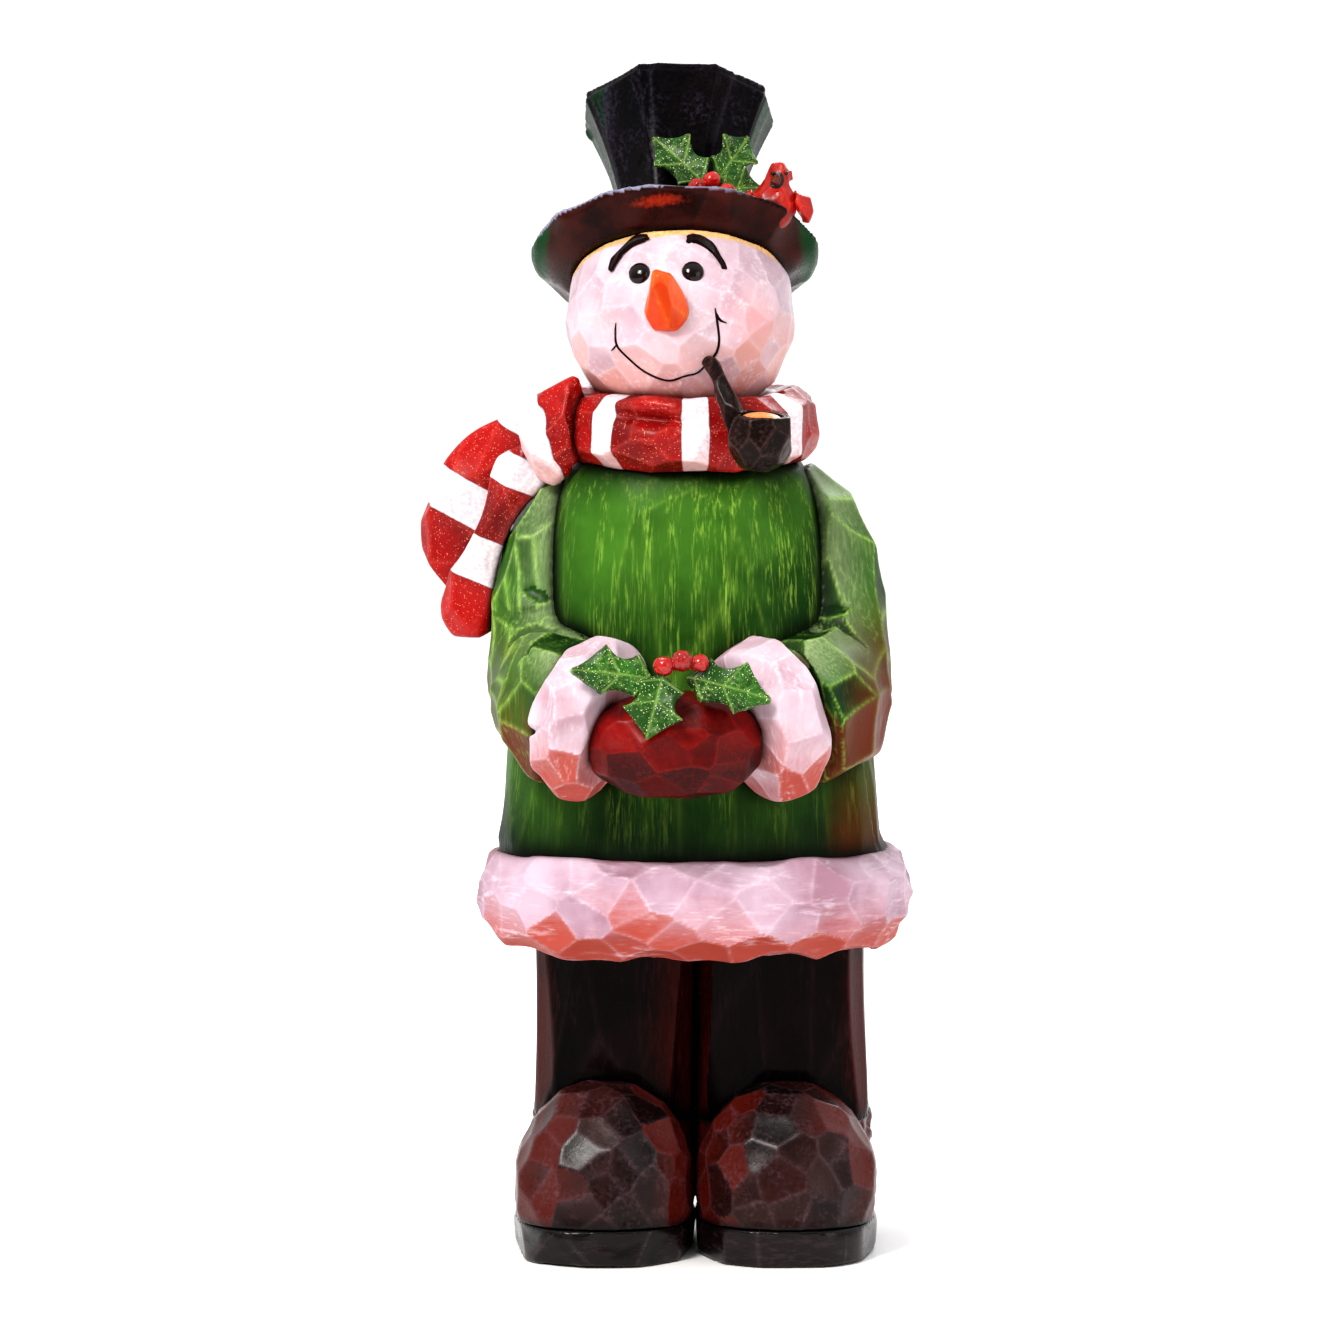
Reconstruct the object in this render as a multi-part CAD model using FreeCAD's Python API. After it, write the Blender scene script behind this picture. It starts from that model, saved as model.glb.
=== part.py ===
import FreeCAD, Part
import math
import os

# A snowman porch figure, carved from wood blocks and joined with glued dowels and
# pegs.  Lengths are in mm.  +Z is up and the face looks along -Y.  Everything is built
# about a line midway between the feet; at the end the whole figure is moved so that
# the origin is the centre of the bottom of its bounding box.

Vec = FreeCAD.Vector
GLUE_GAP = 0.2
AXIS_GAP = 0.01

# Heights above the floor.
SOLE_TOP = 28.0
HEEL_TOP = 96.0
COAT_BOTTOM = 246.0
HEM_HEIGHT = 262.0
CUFF_HEIGHT = 405.0
SHOULDER_HEIGHT = 580.0
SCARF_HEIGHT = 615.0
NECK_TOP = 616.0
HEAD_HEIGHT = 697.0

# Sideways places: the figure leans a little to the left from the waist up.
CHEST_X = -6.0
HEAD_X = -11.0
HAT_X = -15.0

# Main sizes.
FOOT_FRONT = -132.0
FOOT_BACK = 80.0
FOOT_WIDTH = 135.0
FOOT_GAP = 0.1
LEG_DEPTH = 62.0
LEG_Y = 8.0
HEM_REACH = 162.0
HEM_HALF_HEIGHT = 36.0
HEM_DEPTH_RATIO = 0.8
HEAD_RADIUS = 84.0
HEAD_Y = -20.0
HEAD_TILT = 28.0
HAT_SEAT = 30.0
BRIM_RADIUS = 105.0
BRIM_THICK = 11.0
BRIM_LIFT = 16.0
CROWN_HEIGHT = 132.0
DOWEL_RADIUS = 9.0
NECK_DOWEL_RADIUS = 12.0
ARM_DOWEL_RADIUS = 7.0
NOSE_PEG_RADIUS = 5.0
PIPE_PIN_RADIUS = 2.5
LEAF_THICK = 5.0

HANDS = {"left": -1.0, "right": 1.0}

nodes = {}


def add(name, shape):
    """Keep a finished piece under its node name."""
    nodes[name] = shape


def group(shapes):
    """Several separate solids that share one node."""
    return Part.makeCompound(shapes)


def smooth_curve(points, closed=False):
    """Spline edge through points."""
    curve = Part.BSplineCurve()
    if closed:
        curve.interpolate(Points=points, PeriodicFlag=True)
    else:
        curve.interpolate(points)
    return curve.toShape()


def ring(centre, half_width, half_depth, power=2.0, along=Vec(0, 0, 1), across=Vec(1, 0, 0)):
    """Rounded closed section, at right angles to along, with half_width along across."""
    normal = Vec(along).normalize()
    side = Vec(across) - normal * Vec(across).dot(normal)
    side.normalize()
    deep = normal.cross(side)
    count = 16
    points = []
    for step in range(count):
        angle = 2.0 * math.pi * step / count
        u = math.copysign(abs(math.cos(angle)) ** (2.0 / power), math.cos(angle))
        v = math.copysign(abs(math.sin(angle)) ** (2.0 / power), math.sin(angle))
        points.append(Vec(centre) + side * (half_width * u) + deep * (half_depth * v))
    return Part.Wire([smooth_curve(points, closed=True)])


def loft(rings):
    """Solid skin through a list of rings."""
    return Part.makeLoft(rings, True, False)


def ball(centre, radii):
    """Ellipsoid with half sizes radii."""
    scale = FreeCAD.Matrix()
    scale.scale(radii[0], radii[1], radii[2])
    shape = Part.makeSphere(1.0).transformGeometry(scale)
    shape.translate(Vec(centre))
    return shape


def turned(profile):
    """Solid of revolution about Z from (radius, height) points; smooth between them."""
    points = [Vec(radius, 0, height) for radius, height in profile]
    edge = smooth_curve(points)
    low = Vec(0, 0, points[0].z)
    high = Vec(0, 0, points[-1].z)
    edges = [edge]
    if points[-1].x > 0:
        edges.append(Part.makeLine(points[-1], high))
    edges.append(Part.makeLine(high, low))
    if points[0].x > 0:
        edges.append(Part.makeLine(low, points[0]))
    return Part.Face(Part.Wire(edges)).revolve(Vec(0, 0, 0), Vec(0, 0, 1), 360)


def fat_ring(radius, half_thick, half_height):
    """Ring about Z with an elliptical section, lying in the XY plane."""
    section = ring(Vec(radius, 0, 0), half_thick, half_height, 2.4, Vec(0, 1, 0), Vec(1, 0, 0))
    return Part.Face(section).revolve(Vec(0, 0, 0), Vec(0, 0, 1), 360)


def bent_bar(points, sizes, across=None, power=2.0):
    """Bar through points; sizes holds (half width along across, half depth) at each.

    With no across the width stays at right angles to the bar and to the front-back line.
    """
    rings = []
    for index, point in enumerate(points):
        along = points[min(index + 1, len(points) - 1)] - points[max(index - 1, 0)]
        width, depth = sizes[index]
        side = across or along.cross(Vec(0, 1, 0))
        rings.append(ring(point, width, depth, power, along, side))
    return loft(rings)


def rod(start, end, radius):
    """Straight round bar between two points."""
    return Part.makeCylinder(radius, (end - start).Length, start, end - start)


def aim(shape, direction, place):
    """Turn a shape built along +Z to point along direction, then move it to place."""
    result = shape.copy()
    turn = FreeCAD.Rotation(Vec(0, 0, 1), Vec(direction))
    result.Placement = FreeCAD.Placement(Vec(place), turn).multiply(result.Placement)
    return result


def cut_by(shape, *others):
    """Shape with the others removed, as its largest solid."""
    result = shape.cut(list(others)) if others else shape
    solids = sorted(result.Solids, key=lambda solid: solid.Volume)
    return solids[-1]


def bored(shape, rods):
    """Shape with a glue-gap hole for each (start, end, radius) rod."""
    holes = [rod(start, end, radius + GLUE_GAP) for start, end, radius in rods]
    return cut_by(shape, *holes)


# ---------------------------------------------------------------- head and hat frame

TILT = math.radians(HEAD_TILT)
HAT_AXIS = Vec(0, math.sin(TILT), math.cos(TILT))
HAT_FRONT = Vec(0, -math.cos(TILT), math.sin(TILT))
HEAD_CENTRE = Vec(HEAD_X, HEAD_Y, HEAD_HEIGHT)
HAT_BASE = HEAD_CENTRE + HAT_AXIS * HAT_SEAT + Vec(HAT_X - HEAD_X, 0, 0)


def hat_way(right, forward, up):
    """Offset along the hat's own directions."""
    return Vec(right, 0, 0) + HAT_FRONT * forward + HAT_AXIS * up


def on_hat(right, forward, up):
    """Point given by its distances from the middle of the underside of the brim."""
    return HAT_BASE + hat_way(right, forward, up)


def outward(point):
    return (point - HEAD_CENTRE).normalize()


def on_face(right, up, sink=0.0):
    """Point on the front of the head ball, right and up from its middle, sunk by sink."""
    forward = math.sqrt(HEAD_RADIUS ** 2 - right * right - up * up)
    point = HEAD_CENTRE + Vec(right, -forward, up)
    return point - outward(point) * sink


def build_head(pegs):
    """Ball, flat where the hat sits and flat where it meets the neck."""
    shape = Part.makeSphere(HEAD_RADIUS, HEAD_CENTRE)
    size = 3.0 * HEAD_RADIUS
    above = aim(Part.makeBox(size, size, size, Vec(-size / 2, -size / 2, 0)), HAT_AXIS, HAT_BASE)
    below = Part.makeBox(size, size, size, Vec(-size / 2, -size / 2, NECK_TOP - size))
    below.translate(Vec(HEAD_X, HEAD_Y, 0))
    return bored(cut_by(shape, above, below), pegs)


def build_brim(pegs):
    """Round brim, flat over the head and rising like a dish to a soft outer edge."""
    edge = BRIM_THICK / 2
    flat = math.sqrt(HEAD_RADIUS ** 2 - HAT_SEAT ** 2)
    lip = BRIM_RADIUS - edge
    under = [(flat, 0.0), ((flat + lip) / 2, BRIM_LIFT * 0.42), (lip, BRIM_LIFT)]
    rim = [(BRIM_RADIUS, BRIM_LIFT + edge)]
    over = [(radius, height + BRIM_THICK) for radius, height in reversed(under)]
    outline = [Vec(radius, 0, height) for radius, height in under + rim + over]
    top = Vec(0, 0, BRIM_THICK)
    wire = Part.Wire([smooth_curve(outline), Part.makeLine(outline[-1], top),
                      Part.makeLine(top, Vec(0, 0, 0)), Part.makeLine(Vec(0, 0, 0), outline[0])])
    shape = Part.Face(wire).revolve(Vec(0, 0, 0), Vec(0, 0, 1), 360)
    return bored(aim(shape, HAT_AXIS, HAT_BASE), pegs)


CROWN_PROFILE = [(42.0, 0.0), (49.0, 60.0), (66.0, 106.0), (75.0, 126.0)]
CROWN_SHIFT = 2.6


def build_crown(pegs):
    """Tall crown that flares towards a flat top with a rounded rim."""
    top_radius, rim_height = CROWN_PROFILE[-1]
    wall = smooth_curve([Vec(r, 0, h) for r, h in CROWN_PROFILE])
    rounding = CROWN_HEIGHT - rim_height
    rim = Vec(top_radius, 0, rim_height)
    shoulder = Vec(top_radius - rounding, 0, CROWN_HEIGHT)
    middle = Vec(0, 0, CROWN_HEIGHT)
    bulge = rounding * (1.0 - math.sqrt(0.5))
    lip = Part.Arc(rim, Vec(top_radius - bulge, 0, CROWN_HEIGHT - bulge), shoulder).toShape()
    base = Vec(CROWN_PROFILE[0][0], 0, 0)
    wire = Part.Wire([wall, lip, Part.makeLine(shoulder, middle),
                      Part.makeLine(middle, Vec(0, 0, 0)), Part.makeLine(Vec(0, 0, 0), base)])
    shape = Part.Face(wire).revolve(Vec(0, 0, 0), Vec(0, 0, 1), 360)
    return bored(aim(shape, HAT_AXIS, on_hat(CROWN_SHIFT, 0, BRIM_THICK)), pegs)


# ---------------------------------------------------------------------- holly leaves

def holly_leaf(base, tip, facing, half_width, thick):
    """Flat holly leaf from base to tip: two spikes on each side with hollow arcs between."""
    axis = (tip - base)
    length = axis.Length
    axis.normalize()
    normal = Vec(facing) - axis * Vec(facing).dot(axis)
    normal.normalize()
    side = normal.cross(axis)

    def at(along, across):
        return base + axis * (length * along) + side * (half_width * across)

    spikes = [(0.0, 0.0), (0.22, 0.85), (0.62, 1.0), (1.0, 0.0)]
    hollows = [(0.15, 0.54), (0.42, 0.62), (0.80, 0.46)]
    edges = []
    for hand in (1.0, -1.0):
        for index, (along, across) in enumerate(hollows):
            start = at(spikes[index][0], hand * spikes[index][1])
            end = at(spikes[index + 1][0], hand * spikes[index + 1][1])
            edges.append(Part.Arc(start, at(along, hand * across), end).toShape())
    wire = Part.Wire(Part.__sortEdges__(edges))
    return Part.Face(wire).extrude(normal * thick)


def build_hat_holly(crown, brim):
    """Two leaves against the front of the crown and a cluster of berries below them."""
    corner = on_hat(25, 60, 46)
    left = holly_leaf(corner + hat_way(-2, 0, 0), corner + hat_way(-42, 0, 40), HAT_FRONT, 19.0,
                      LEAF_THICK)
    right = holly_leaf(corner + hat_way(5, -4, 6), corner + hat_way(29, -12, 48),
                       HAT_FRONT + Vec(0.5, 0, 0), 17.0, LEAF_THICK)
    low = holly_leaf(corner + hat_way(5, 0, -4), corner + hat_way(39, -16, 6),
                     HAT_FRONT + Vec(0.6, 0, 0), 15.0, LEAF_THICK)
    add("hat_holly_leaf_left", cut_by(left, crown, brim))
    add("hat_holly_leaf_right", cut_by(right, crown, brim, left))
    add("hat_holly_leaf_low", cut_by(low, crown, brim, left, right))
    spots = [hat_way(2, 9, 0), hat_way(-9, 12, -7), hat_way(14, 6, -8)]
    berries = [Part.makeSphere(6.4, corner + spot) for spot in spots]
    hat_pieces = [crown, brim, left, right, low]
    add("hat_berries", group([cut_by(berry, *hat_pieces) for berry in berries]))


# ------------------------------------------------------------------------------ bird

def build_bird(brim):
    """Small plump bird that sits on the brim: body, two wings, tail, beak and eyes."""
    seat = on_hat(73, 52, BRIM_THICK + BRIM_LIFT / 2)
    centre = seat + Vec(0, 0, 13)
    head_centre = centre + Vec(4, -2, 21)
    body = ball(centre, (17, 17, 20)).fuse(ball(head_centre, (9.5, 10, 11)))
    crest = Part.makeCone(6.0, 1.0, 9.0, head_centre + Vec(0.5, 3, 4), Vec(0.1, 0.3, 1))
    body = cut_by(body.fuse(crest), brim)
    add("bird_body", body)
    for name, hand in HANDS.items():
        root = centre + Vec(hand * 13, -1, 5)
        end = centre + Vec(hand * 24, 5, -12)
        middle = (root + end) * 0.5 + Vec(hand * 5, 0, 1)
        wing = bent_bar([root, middle, end], [(7, 9), (6, 10), (2.5, 4)], Vec(1, 0, 0))
        add("bird_%s_wing" % name, cut_by(wing, body, brim))
    tail = bent_bar([centre + Vec(0, 14, -4), centre + Vec(2, 30, -4), centre + Vec(3, 42, -1)],
                    [(7, 5), (8, 3.5), (9, 2.5)], Vec(1, 0, 0))
    add("bird_tail", cut_by(tail, body, brim, nodes["bird_left_wing"], nodes["bird_right_wing"]))
    beak_base = head_centre + Vec(-2, -7.5, -2)
    beak = Part.makeCone(4.5, 0.8, 9.0, beak_base, Vec(-0.3, -1, -0.15))
    add("bird_beak", cut_by(beak, body))
    eyes = [Part.makeSphere(1.6, head_centre + Vec(hand * 5.0, -8.2, 2.5)) for hand in (-1, 1)]
    add("bird_eyes", group([cut_by(eye, body) for eye in eyes]))


# ------------------------------------------------------------------------------ face

# Places on the face are right and up from the middle of the head.
EYES = {"left_eye": (-30.0, 31.0), "right_eye": (9.0, 32.0)}
BROWS = {
    "left_brow": [(-51, 33), (-44, 45), (-34, 53), (-23, 56)],
    "right_brow": [(32, 34), (25, 46), (16, 53), (4, 56)],
}
NOSE_BASE = (-10.0, 0.0)
NOSE_WAY = Vec(-0.1, -0.87, 0.5)
NOSE_LENGTH = 63.0
NOSE_RADIUS = 15.5
PIPE_MOUTH = (20.0, -33.0)
PIPE_BOWL = HEAD_CENTRE + Vec(58.0, -114.0, -90.0)
BOWL_RADIUS = 23.0
CHAMBER_RADIUS = 15.5


def face_rods():
    """Pegs that hold the nose and the pipe: (start, end, radius)."""
    nose_seat = on_face(*NOSE_BASE)
    nose_way = Vec(NOSE_WAY).normalize()
    pipe_seat = on_face(*PIPE_MOUTH)
    pipe_way = outward(pipe_seat)
    return {
        "nose_peg": (nose_seat - nose_way * 22.0, nose_seat + nose_way * 26.0, NOSE_PEG_RADIUS),
        "pipe_pin": (pipe_seat - pipe_way * 10.0, pipe_seat + pipe_way * 5.0, PIPE_PIN_RADIUS),
    }


def build_nose(head, peg):
    """Carrot nose that points forwards and up."""
    seat = on_face(*NOSE_BASE, sink=6.0)
    way = Vec(NOSE_WAY).normalize()
    points = [seat + way * (NOSE_LENGTH * part) for part in (0.0, 0.3, 0.62, 0.88, 1.0)]
    radii = [NOSE_RADIUS * share for share in (0.92, 0.98, 0.70, 0.46, 0.14)]
    shape = bent_bar(points, [(radius, radius) for radius in radii], Vec(1, 0, 0))
    add("nose", bored(cut_by(shape, head), [peg]))


def build_eyes_and_brows(head):
    for name, place in EYES.items():
        centre = on_face(*place)
        dome = aim(ball(Vec(0, 0, 0), (8.3, 8.3, 5.0)), outward(centre), centre)
        add(name, cut_by(dome, head))
    sizes = [(1.6, 2.8), (3.2, 3.2), (3.8, 3.2), (2.0, 2.8)]
    for name, spots in BROWS.items():
        bar = bent_bar([on_face(*spot) for spot in spots], sizes, Vec(0, 0, 1))
        add(name, cut_by(bar, head, nodes["hat_brim"]))


def build_pipe(head, pin, blockers):
    """Tapered stem from the mouth down to a round bowl in front of the scarf."""
    mouth = on_face(*PIPE_MOUTH)
    upright = Vec(0.05, -0.12, 1)
    points = [mouth, mouth + Vec(4, -12, -5), PIPE_BOWL + Vec(-22, 6, 25),
              PIPE_BOWL + Vec(-15, 4, 8), PIPE_BOWL + Vec(-12, 4, -6)]
    sizes = [(5.0, 4.5), (5.5, 5.0), (7.0, 6.5), (8.5, 8.0), (8.0, 8.0)]
    bowl_profile = [(AXIS_GAP, -BOWL_RADIUS * 0.93), (BOWL_RADIUS * 0.55, -BOWL_RADIUS * 0.83),
                    (BOWL_RADIUS * 0.9, -BOWL_RADIUS * 0.4), (BOWL_RADIUS, BOWL_RADIUS * 0.17),
                    (BOWL_RADIUS * 0.93, BOWL_RADIUS * 0.6), (BOWL_RADIUS * 0.84, BOWL_RADIUS * 0.85)]
    floor = 4.0
    bowl = aim(turned(bowl_profile), upright, PIPE_BOWL)
    chamber = aim(Part.makeCylinder(CHAMBER_RADIUS, BOWL_RADIUS, Vec(0, 0, floor)), upright,
                  PIPE_BOWL)
    bowl = cut_by(bowl, chamber, *blockers)
    add("pipe_bowl", bowl)
    stem = cut_by(bent_bar(points, sizes, Vec(1, 0, 0)), head, bowl.fuse(chamber), *blockers)
    add("pipe_stem", bored(stem, [pin]))
    fill = CHAMBER_RADIUS - GLUE_GAP
    plug = Part.makeCylinder(fill, 11.0, Vec(0, 0, floor + GLUE_GAP))
    plug = plug.fuse(ball(Vec(0, 0, floor + 11.0), (fill - 1.0, fill - 1.0, 5.0)))
    add("pipe_tobacco", aim(plug, upright, PIPE_BOWL))


# ----------------------------------------------------------------------------- scarf

WRAP_CENTRE = Vec(CHEST_X + 1.0, HEAD_Y + 6.0, SCARF_HEIGHT)
KNOT = WRAP_CENTRE + Vec(-97.0, -33.0, 0.0)


def tied_bar(offsets, sizes, power=2.0):
    """Bar through points given from the middle of the knot."""
    return bent_bar([KNOT + Vec(*offset) for offset in offsets], sizes, None, power)


def build_scarf(blockers):
    """Collar round the neck, a two-loop knot at the left and two hanging tails."""
    wrap = fat_ring(74.0, 22.0, 27.0)
    wrap.rotate(Vec(0, 0, 0), Vec(1, 0, 0), 4.0)
    wrap.translate(WRAP_CENTRE)
    wrap = cut_by(wrap, *blockers)
    add("scarf_wrap", wrap)
    inner_loop = tied_bar([(14, 7, 27), (4, 1, 19), (1, -3, -3), (9, -5, -27)],
                          [(9, 12), (14, 16), (13, 16), (7, 9)])
    outer_loop = tied_bar([(-6, 17, 16), (-16, 13, 4), (-12, 5, -16), (2, -1, -36)],
                          [(8, 12), (12, 18), (13, 18), (7, 10)])
    knot = cut_by(inner_loop.fuse(outer_loop), wrap, *blockers)
    add("scarf_knot", knot)
    front = tied_bar([(-15, 29, -19), (-36, 33, -59), (-53, 37, -97), (-65, 41, -131), (-64, 43, -155)],
                     [(14, 10), (19, 12), (18, 11), (21, 12), (14, 8)], 2.8)
    front = cut_by(front, knot, wrap, *blockers)
    add("scarf_tail_front", front)
    back = tied_bar([(-16, 51, -3), (-44, 59, -23), (-68, 63, -57), (-76, 63, -93), (-66, 61, -115)],
                    [(14, 9), (22, 10), (27, 10), (25, 10), (16, 7)], 2.8)
    add("scarf_tail_back", cut_by(back, front, knot, wrap, *blockers))


# --------------------------------------------------------------------- coat and arms

COAT_SECTIONS = [
    # height, half width, half depth, middle x
    (COAT_BOTTOM, 141.0, 106.0, 0.0),
    (312.0, 142.0, 107.0, -1.0),
    (372.0, 136.0, 104.0, -3.0),
    (450.0, 124.0, 99.0, -5.0),
    (520.0, 111.0, 92.0, CHEST_X),
    (566.0, 98.0, 82.0, CHEST_X),
    (594.0, 78.0, 68.0, CHEST_X),
    (NECK_TOP, 50.0, 48.0, HEAD_X),
]


def build_coat(rods):
    """Body block with a skirt that widens towards the hem."""
    rings = [ring(Vec(x, HEAD_Y * max(0.0, (z - 450.0) / 250.0), z), width, depth, 2.3)
             for z, width, depth, x in COAT_SECTIONS]
    return bored(loft(rings), rods)


def sleeve_points(hand):
    """Middle line of an arm from the shoulder round the elbow to the wrist."""
    path = [
        # out from the middle of the chest, forward, height
        (68, -4, SHOULDER_HEIGHT), (89, -8, SHOULDER_HEIGHT - 32), (98, -14, CUFF_HEIGHT + 91),
        (100, -36, CUFF_HEIGHT + 31), (97, -78, CUFF_HEIGHT + 9), (83, -108, CUFF_HEIGHT + 2),
    ]
    return [Vec(CHEST_X + 2.0 + hand * out, y, z) for out, y, z in path]


CUFF_RADIUS = 59.0
CUFF_THICK = 50.0


def cuff_centre(hand):
    return Vec(-12.0 + hand * 66.0, -124.0, CUFF_HEIGHT)


def cuff_axis(hand):
    """Way the forearm runs through the cuff: forwards, inwards and slightly down."""
    return Vec(-hand * 0.86, -0.42, -0.27).normalize()


def build_sleeve(hand, coat, cuff, rods):
    sizes = [(24, 30), (36, 40), (47, 46), (52, 50), (50, 53), (44, 50)]
    points = sleeve_points(hand)
    ways = [Vec(0.2 * hand, 0, -1), Vec(0.15 * hand, 0, -1), Vec(0.05 * hand, -0.25, -1),
            Vec(-0.2 * hand, -0.9, -0.75), Vec(-0.5 * hand, -1, -0.2), cuff_axis(hand)]
    rings = [ring(point, width, depth, 2.4, way, Vec(1, 0, 0))
             for point, (width, depth), way in zip(points, sizes, ways)]
    return bored(cut_by(loft(rings), coat, cuff), rods)


def build_cuff(hand, coat):
    """Fat padded disc round the wrist."""
    half = CUFF_THICK / 2
    edge = [(CUFF_RADIUS * 0.5, half), (CUFF_RADIUS * 0.87, half * 0.72), (CUFF_RADIUS, 0.0)]
    lower = [(radius, -height) for radius, height in edge]
    profile = [(AXIS_GAP, -half)] + lower + edge[1::-1] + [(AXIS_GAP, half)]
    return cut_by(aim(turned(profile), cuff_axis(hand), cuff_centre(hand)), coat)


def build_mittens(coat, cuffs):
    """Both mittens are one carved block."""
    middle = Vec(-15, -160, CUFF_HEIGHT - 16)
    half_length = 61.0
    stations = [(-1.0, 12, 10), (-0.82, 26, 21), (-0.45, 36, 29), (0.0, 39, 31), (0.45, 36, 29),
                (0.82, 26, 21), (1.0, 12, 10)]
    points = [middle + Vec(half_length * part, 0, 0) for part, height, depth in stations]
    sizes = [(height, depth) for part, height, depth in stations]
    return cut_by(bent_bar(points, sizes, Vec(0, 0, 1)), coat, *cuffs)


def build_hand_holly(mittens, cuffs):
    """Three leaves that droop over the mittens, with berries in the middle."""
    heart = Vec(-20, -184, CUFF_HEIGHT + 34)
    upward = Vec(0, -0.85, 0.55)
    thick = LEAF_THICK + 1.0
    left = holly_leaf(heart + Vec(-10, 1, -3), heart + Vec(-70, -2, 5), upward, 20.0, thick)
    centre = holly_leaf(heart + Vec(-4, -3, 3), heart + Vec(-15, -14, -43), Vec(0, -1, 0.3), 22.0,
                        thick)
    right = holly_leaf(heart + Vec(13, 1, -1), heart + Vec(74, -2, -17), upward, 21.0, thick)
    blockers = [mittens] + cuffs
    centre = cut_by(centre, *blockers)
    left = cut_by(left, centre, *blockers)
    right = cut_by(right, centre, left, *blockers)
    add("hand_holly_leaf_left", left)
    add("hand_holly_leaf_centre", centre)
    add("hand_holly_leaf_right", right)
    leaves = [left, centre, right]
    berries = []
    for spot, radius in ((Vec(-3, -2, 9), 7.4), (Vec(10, -1, 12), 7.8), (Vec(23, 2, 10), 6.8)):
        berry = Part.makeSphere(radius, heart + spot)
        berries.append(cut_by(berry, *blockers, *leaves, *berries))
    add("hand_berries", group(berries))


# --------------------------------------------------------------------- hem and legs

# Share of the half height, and how far the surface is drawn in there.
HEM_ROUNDING = [(-1.0, 24.0), (-0.8, 11.0), (-0.3, 0.5), (0.3, 0.0), (0.75, 6.0), (1.0, 17.0)]


def build_hem(coat):
    """Padded trim round the bottom of the coat, open below."""
    depth = HEM_REACH * HEM_DEPTH_RATIO
    rings = []
    for height, inset in HEM_ROUNDING:
        centre = Vec(0.5, 0, HEM_HEIGHT + HEM_HALF_HEIGHT * height)
        rings.append(ring(centre, HEM_REACH - inset, depth - inset, 2.3))
    inner = [ring(Vec(0, 0, z), COAT_SECTIONS[0][1] - 8.0, COAT_SECTIONS[0][2] - 8.0, 2.3)
             for z in (HEM_HEIGHT - 2.0 * HEM_HALF_HEIGHT, COAT_BOTTOM)]
    return cut_by(loft(rings), coat, loft(inner))


LEG_WIDTH = {"left": 59.0, "right": 64.0}


def leg_rods():
    """Dowels from each leg up into the coat, and from each leg down into its boot."""
    rods = []
    for name, hand in HANDS.items():
        for y, joint, half in ((LEG_Y, COAT_BOTTOM, 45.0), (LEG_Y * 1.7, HEEL_TOP, 35.0)):
            middle = Vec(hand * (LEG_WIDTH[name] + 1.0), y, joint)
            reach = Vec(0, 0, half)
            rods.append((middle - reach, middle + reach, DOWEL_RADIUS))
    return rods


def leg_ring(name, height):
    """Section of a leg, which widens a little towards the foot."""
    half = LEG_WIDTH[name]
    drop = (COAT_BOTTOM - height) / (COAT_BOTTOM - SOLE_TOP)
    widen = 5.0 * drop * drop
    x = HANDS[name] * (half + widen + FOOT_GAP)
    return ring(Vec(x, LEG_Y * (1.0 + drop), height), half + widen, LEG_DEPTH, 2.8)


def build_leg(name, boot, rods):
    heights = (HEEL_TOP, (HEEL_TOP + COAT_BOTTOM) / 2, COAT_BOTTOM)
    return bored(cut_by(loft([leg_ring(name, height) for height in heights]), boot), rods)


TOE_SECTIONS = [
    # height, half width, half depth
    (SOLE_TOP, 66.5, 70.0),
    (54.0, 67.5, 70.0),
    (80.0, 64.0, 65.0),
    (102.0, 52.0, 53.0),
    (117.0, 36.0, 38.0),
    (127.0, 17.0, 19.0),
]


def build_boot(name, rods):
    """Foot with a big domed toe cap in front and a plain heel block behind."""
    x = HANDS[name] * (FOOT_WIDTH / 2 + FOOT_GAP)
    toe_y = FOOT_FRONT + 1.0 + TOE_SECTIONS[0][2]
    toe = loft([ring(Vec(x, toe_y, z), half, reach, 2.3) for z, half, reach in TOE_SECTIONS])
    rear = loft([leg_ring(name, z) for z in (SOLE_TOP, (SOLE_TOP + HEEL_TOP) / 2, HEEL_TOP)])
    return bored(cut_by(toe.fuse(rear)), rods)


def build_sole(name, screws):
    """Flat sole, level with the boot at the sides."""
    x = HANDS[name] * (FOOT_WIDTH / 2 + FOOT_GAP)
    middle = (FOOT_FRONT + FOOT_BACK) / 2
    reach = (FOOT_BACK - FOOT_FRONT) / 2
    plate = loft([ring(Vec(x, middle, 0), FOOT_WIDTH / 2 - 2.0, reach - 3.0, 2.8),
                  ring(Vec(x, middle, SOLE_TOP), FOOT_WIDTH / 2, reach, 2.8)])
    return cut_by(plate, *screws)


SCREW_RADIUS = 2.0
SCREW_HEAD_RADIUS = 4.5
SCREW_BITE = 12.0
SCREW_SUNK = 1.0
SCREW_HEAD = 4.0


def sole_screw(x, y):
    """Countersunk wood screw driven up through the sole into the boot."""
    foot = Vec(x, y, SCREW_SUNK)
    head = Part.makeCone(SCREW_HEAD_RADIUS, SCREW_RADIUS, SCREW_HEAD, foot)
    shank = Part.makeCylinder(SCREW_RADIUS, SOLE_TOP + SCREW_BITE, foot)
    return head.fuse(shank).removeSplitter()


def screw_hole(x, y):
    """Clearance for a sole screw, with a round recess below its head."""
    foot = Vec(x, y, 0)
    recess = Part.makeCylinder(SCREW_HEAD_RADIUS + GLUE_GAP, SCREW_SUNK + SCREW_HEAD + GLUE_GAP, foot)
    depth = SOLE_TOP + SCREW_BITE + SCREW_SUNK + 0.5
    return recess.fuse(Part.makeCylinder(SCREW_RADIUS + GLUE_GAP, depth, foot))


# -------------------------------------------------------------------------- assembly

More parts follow.
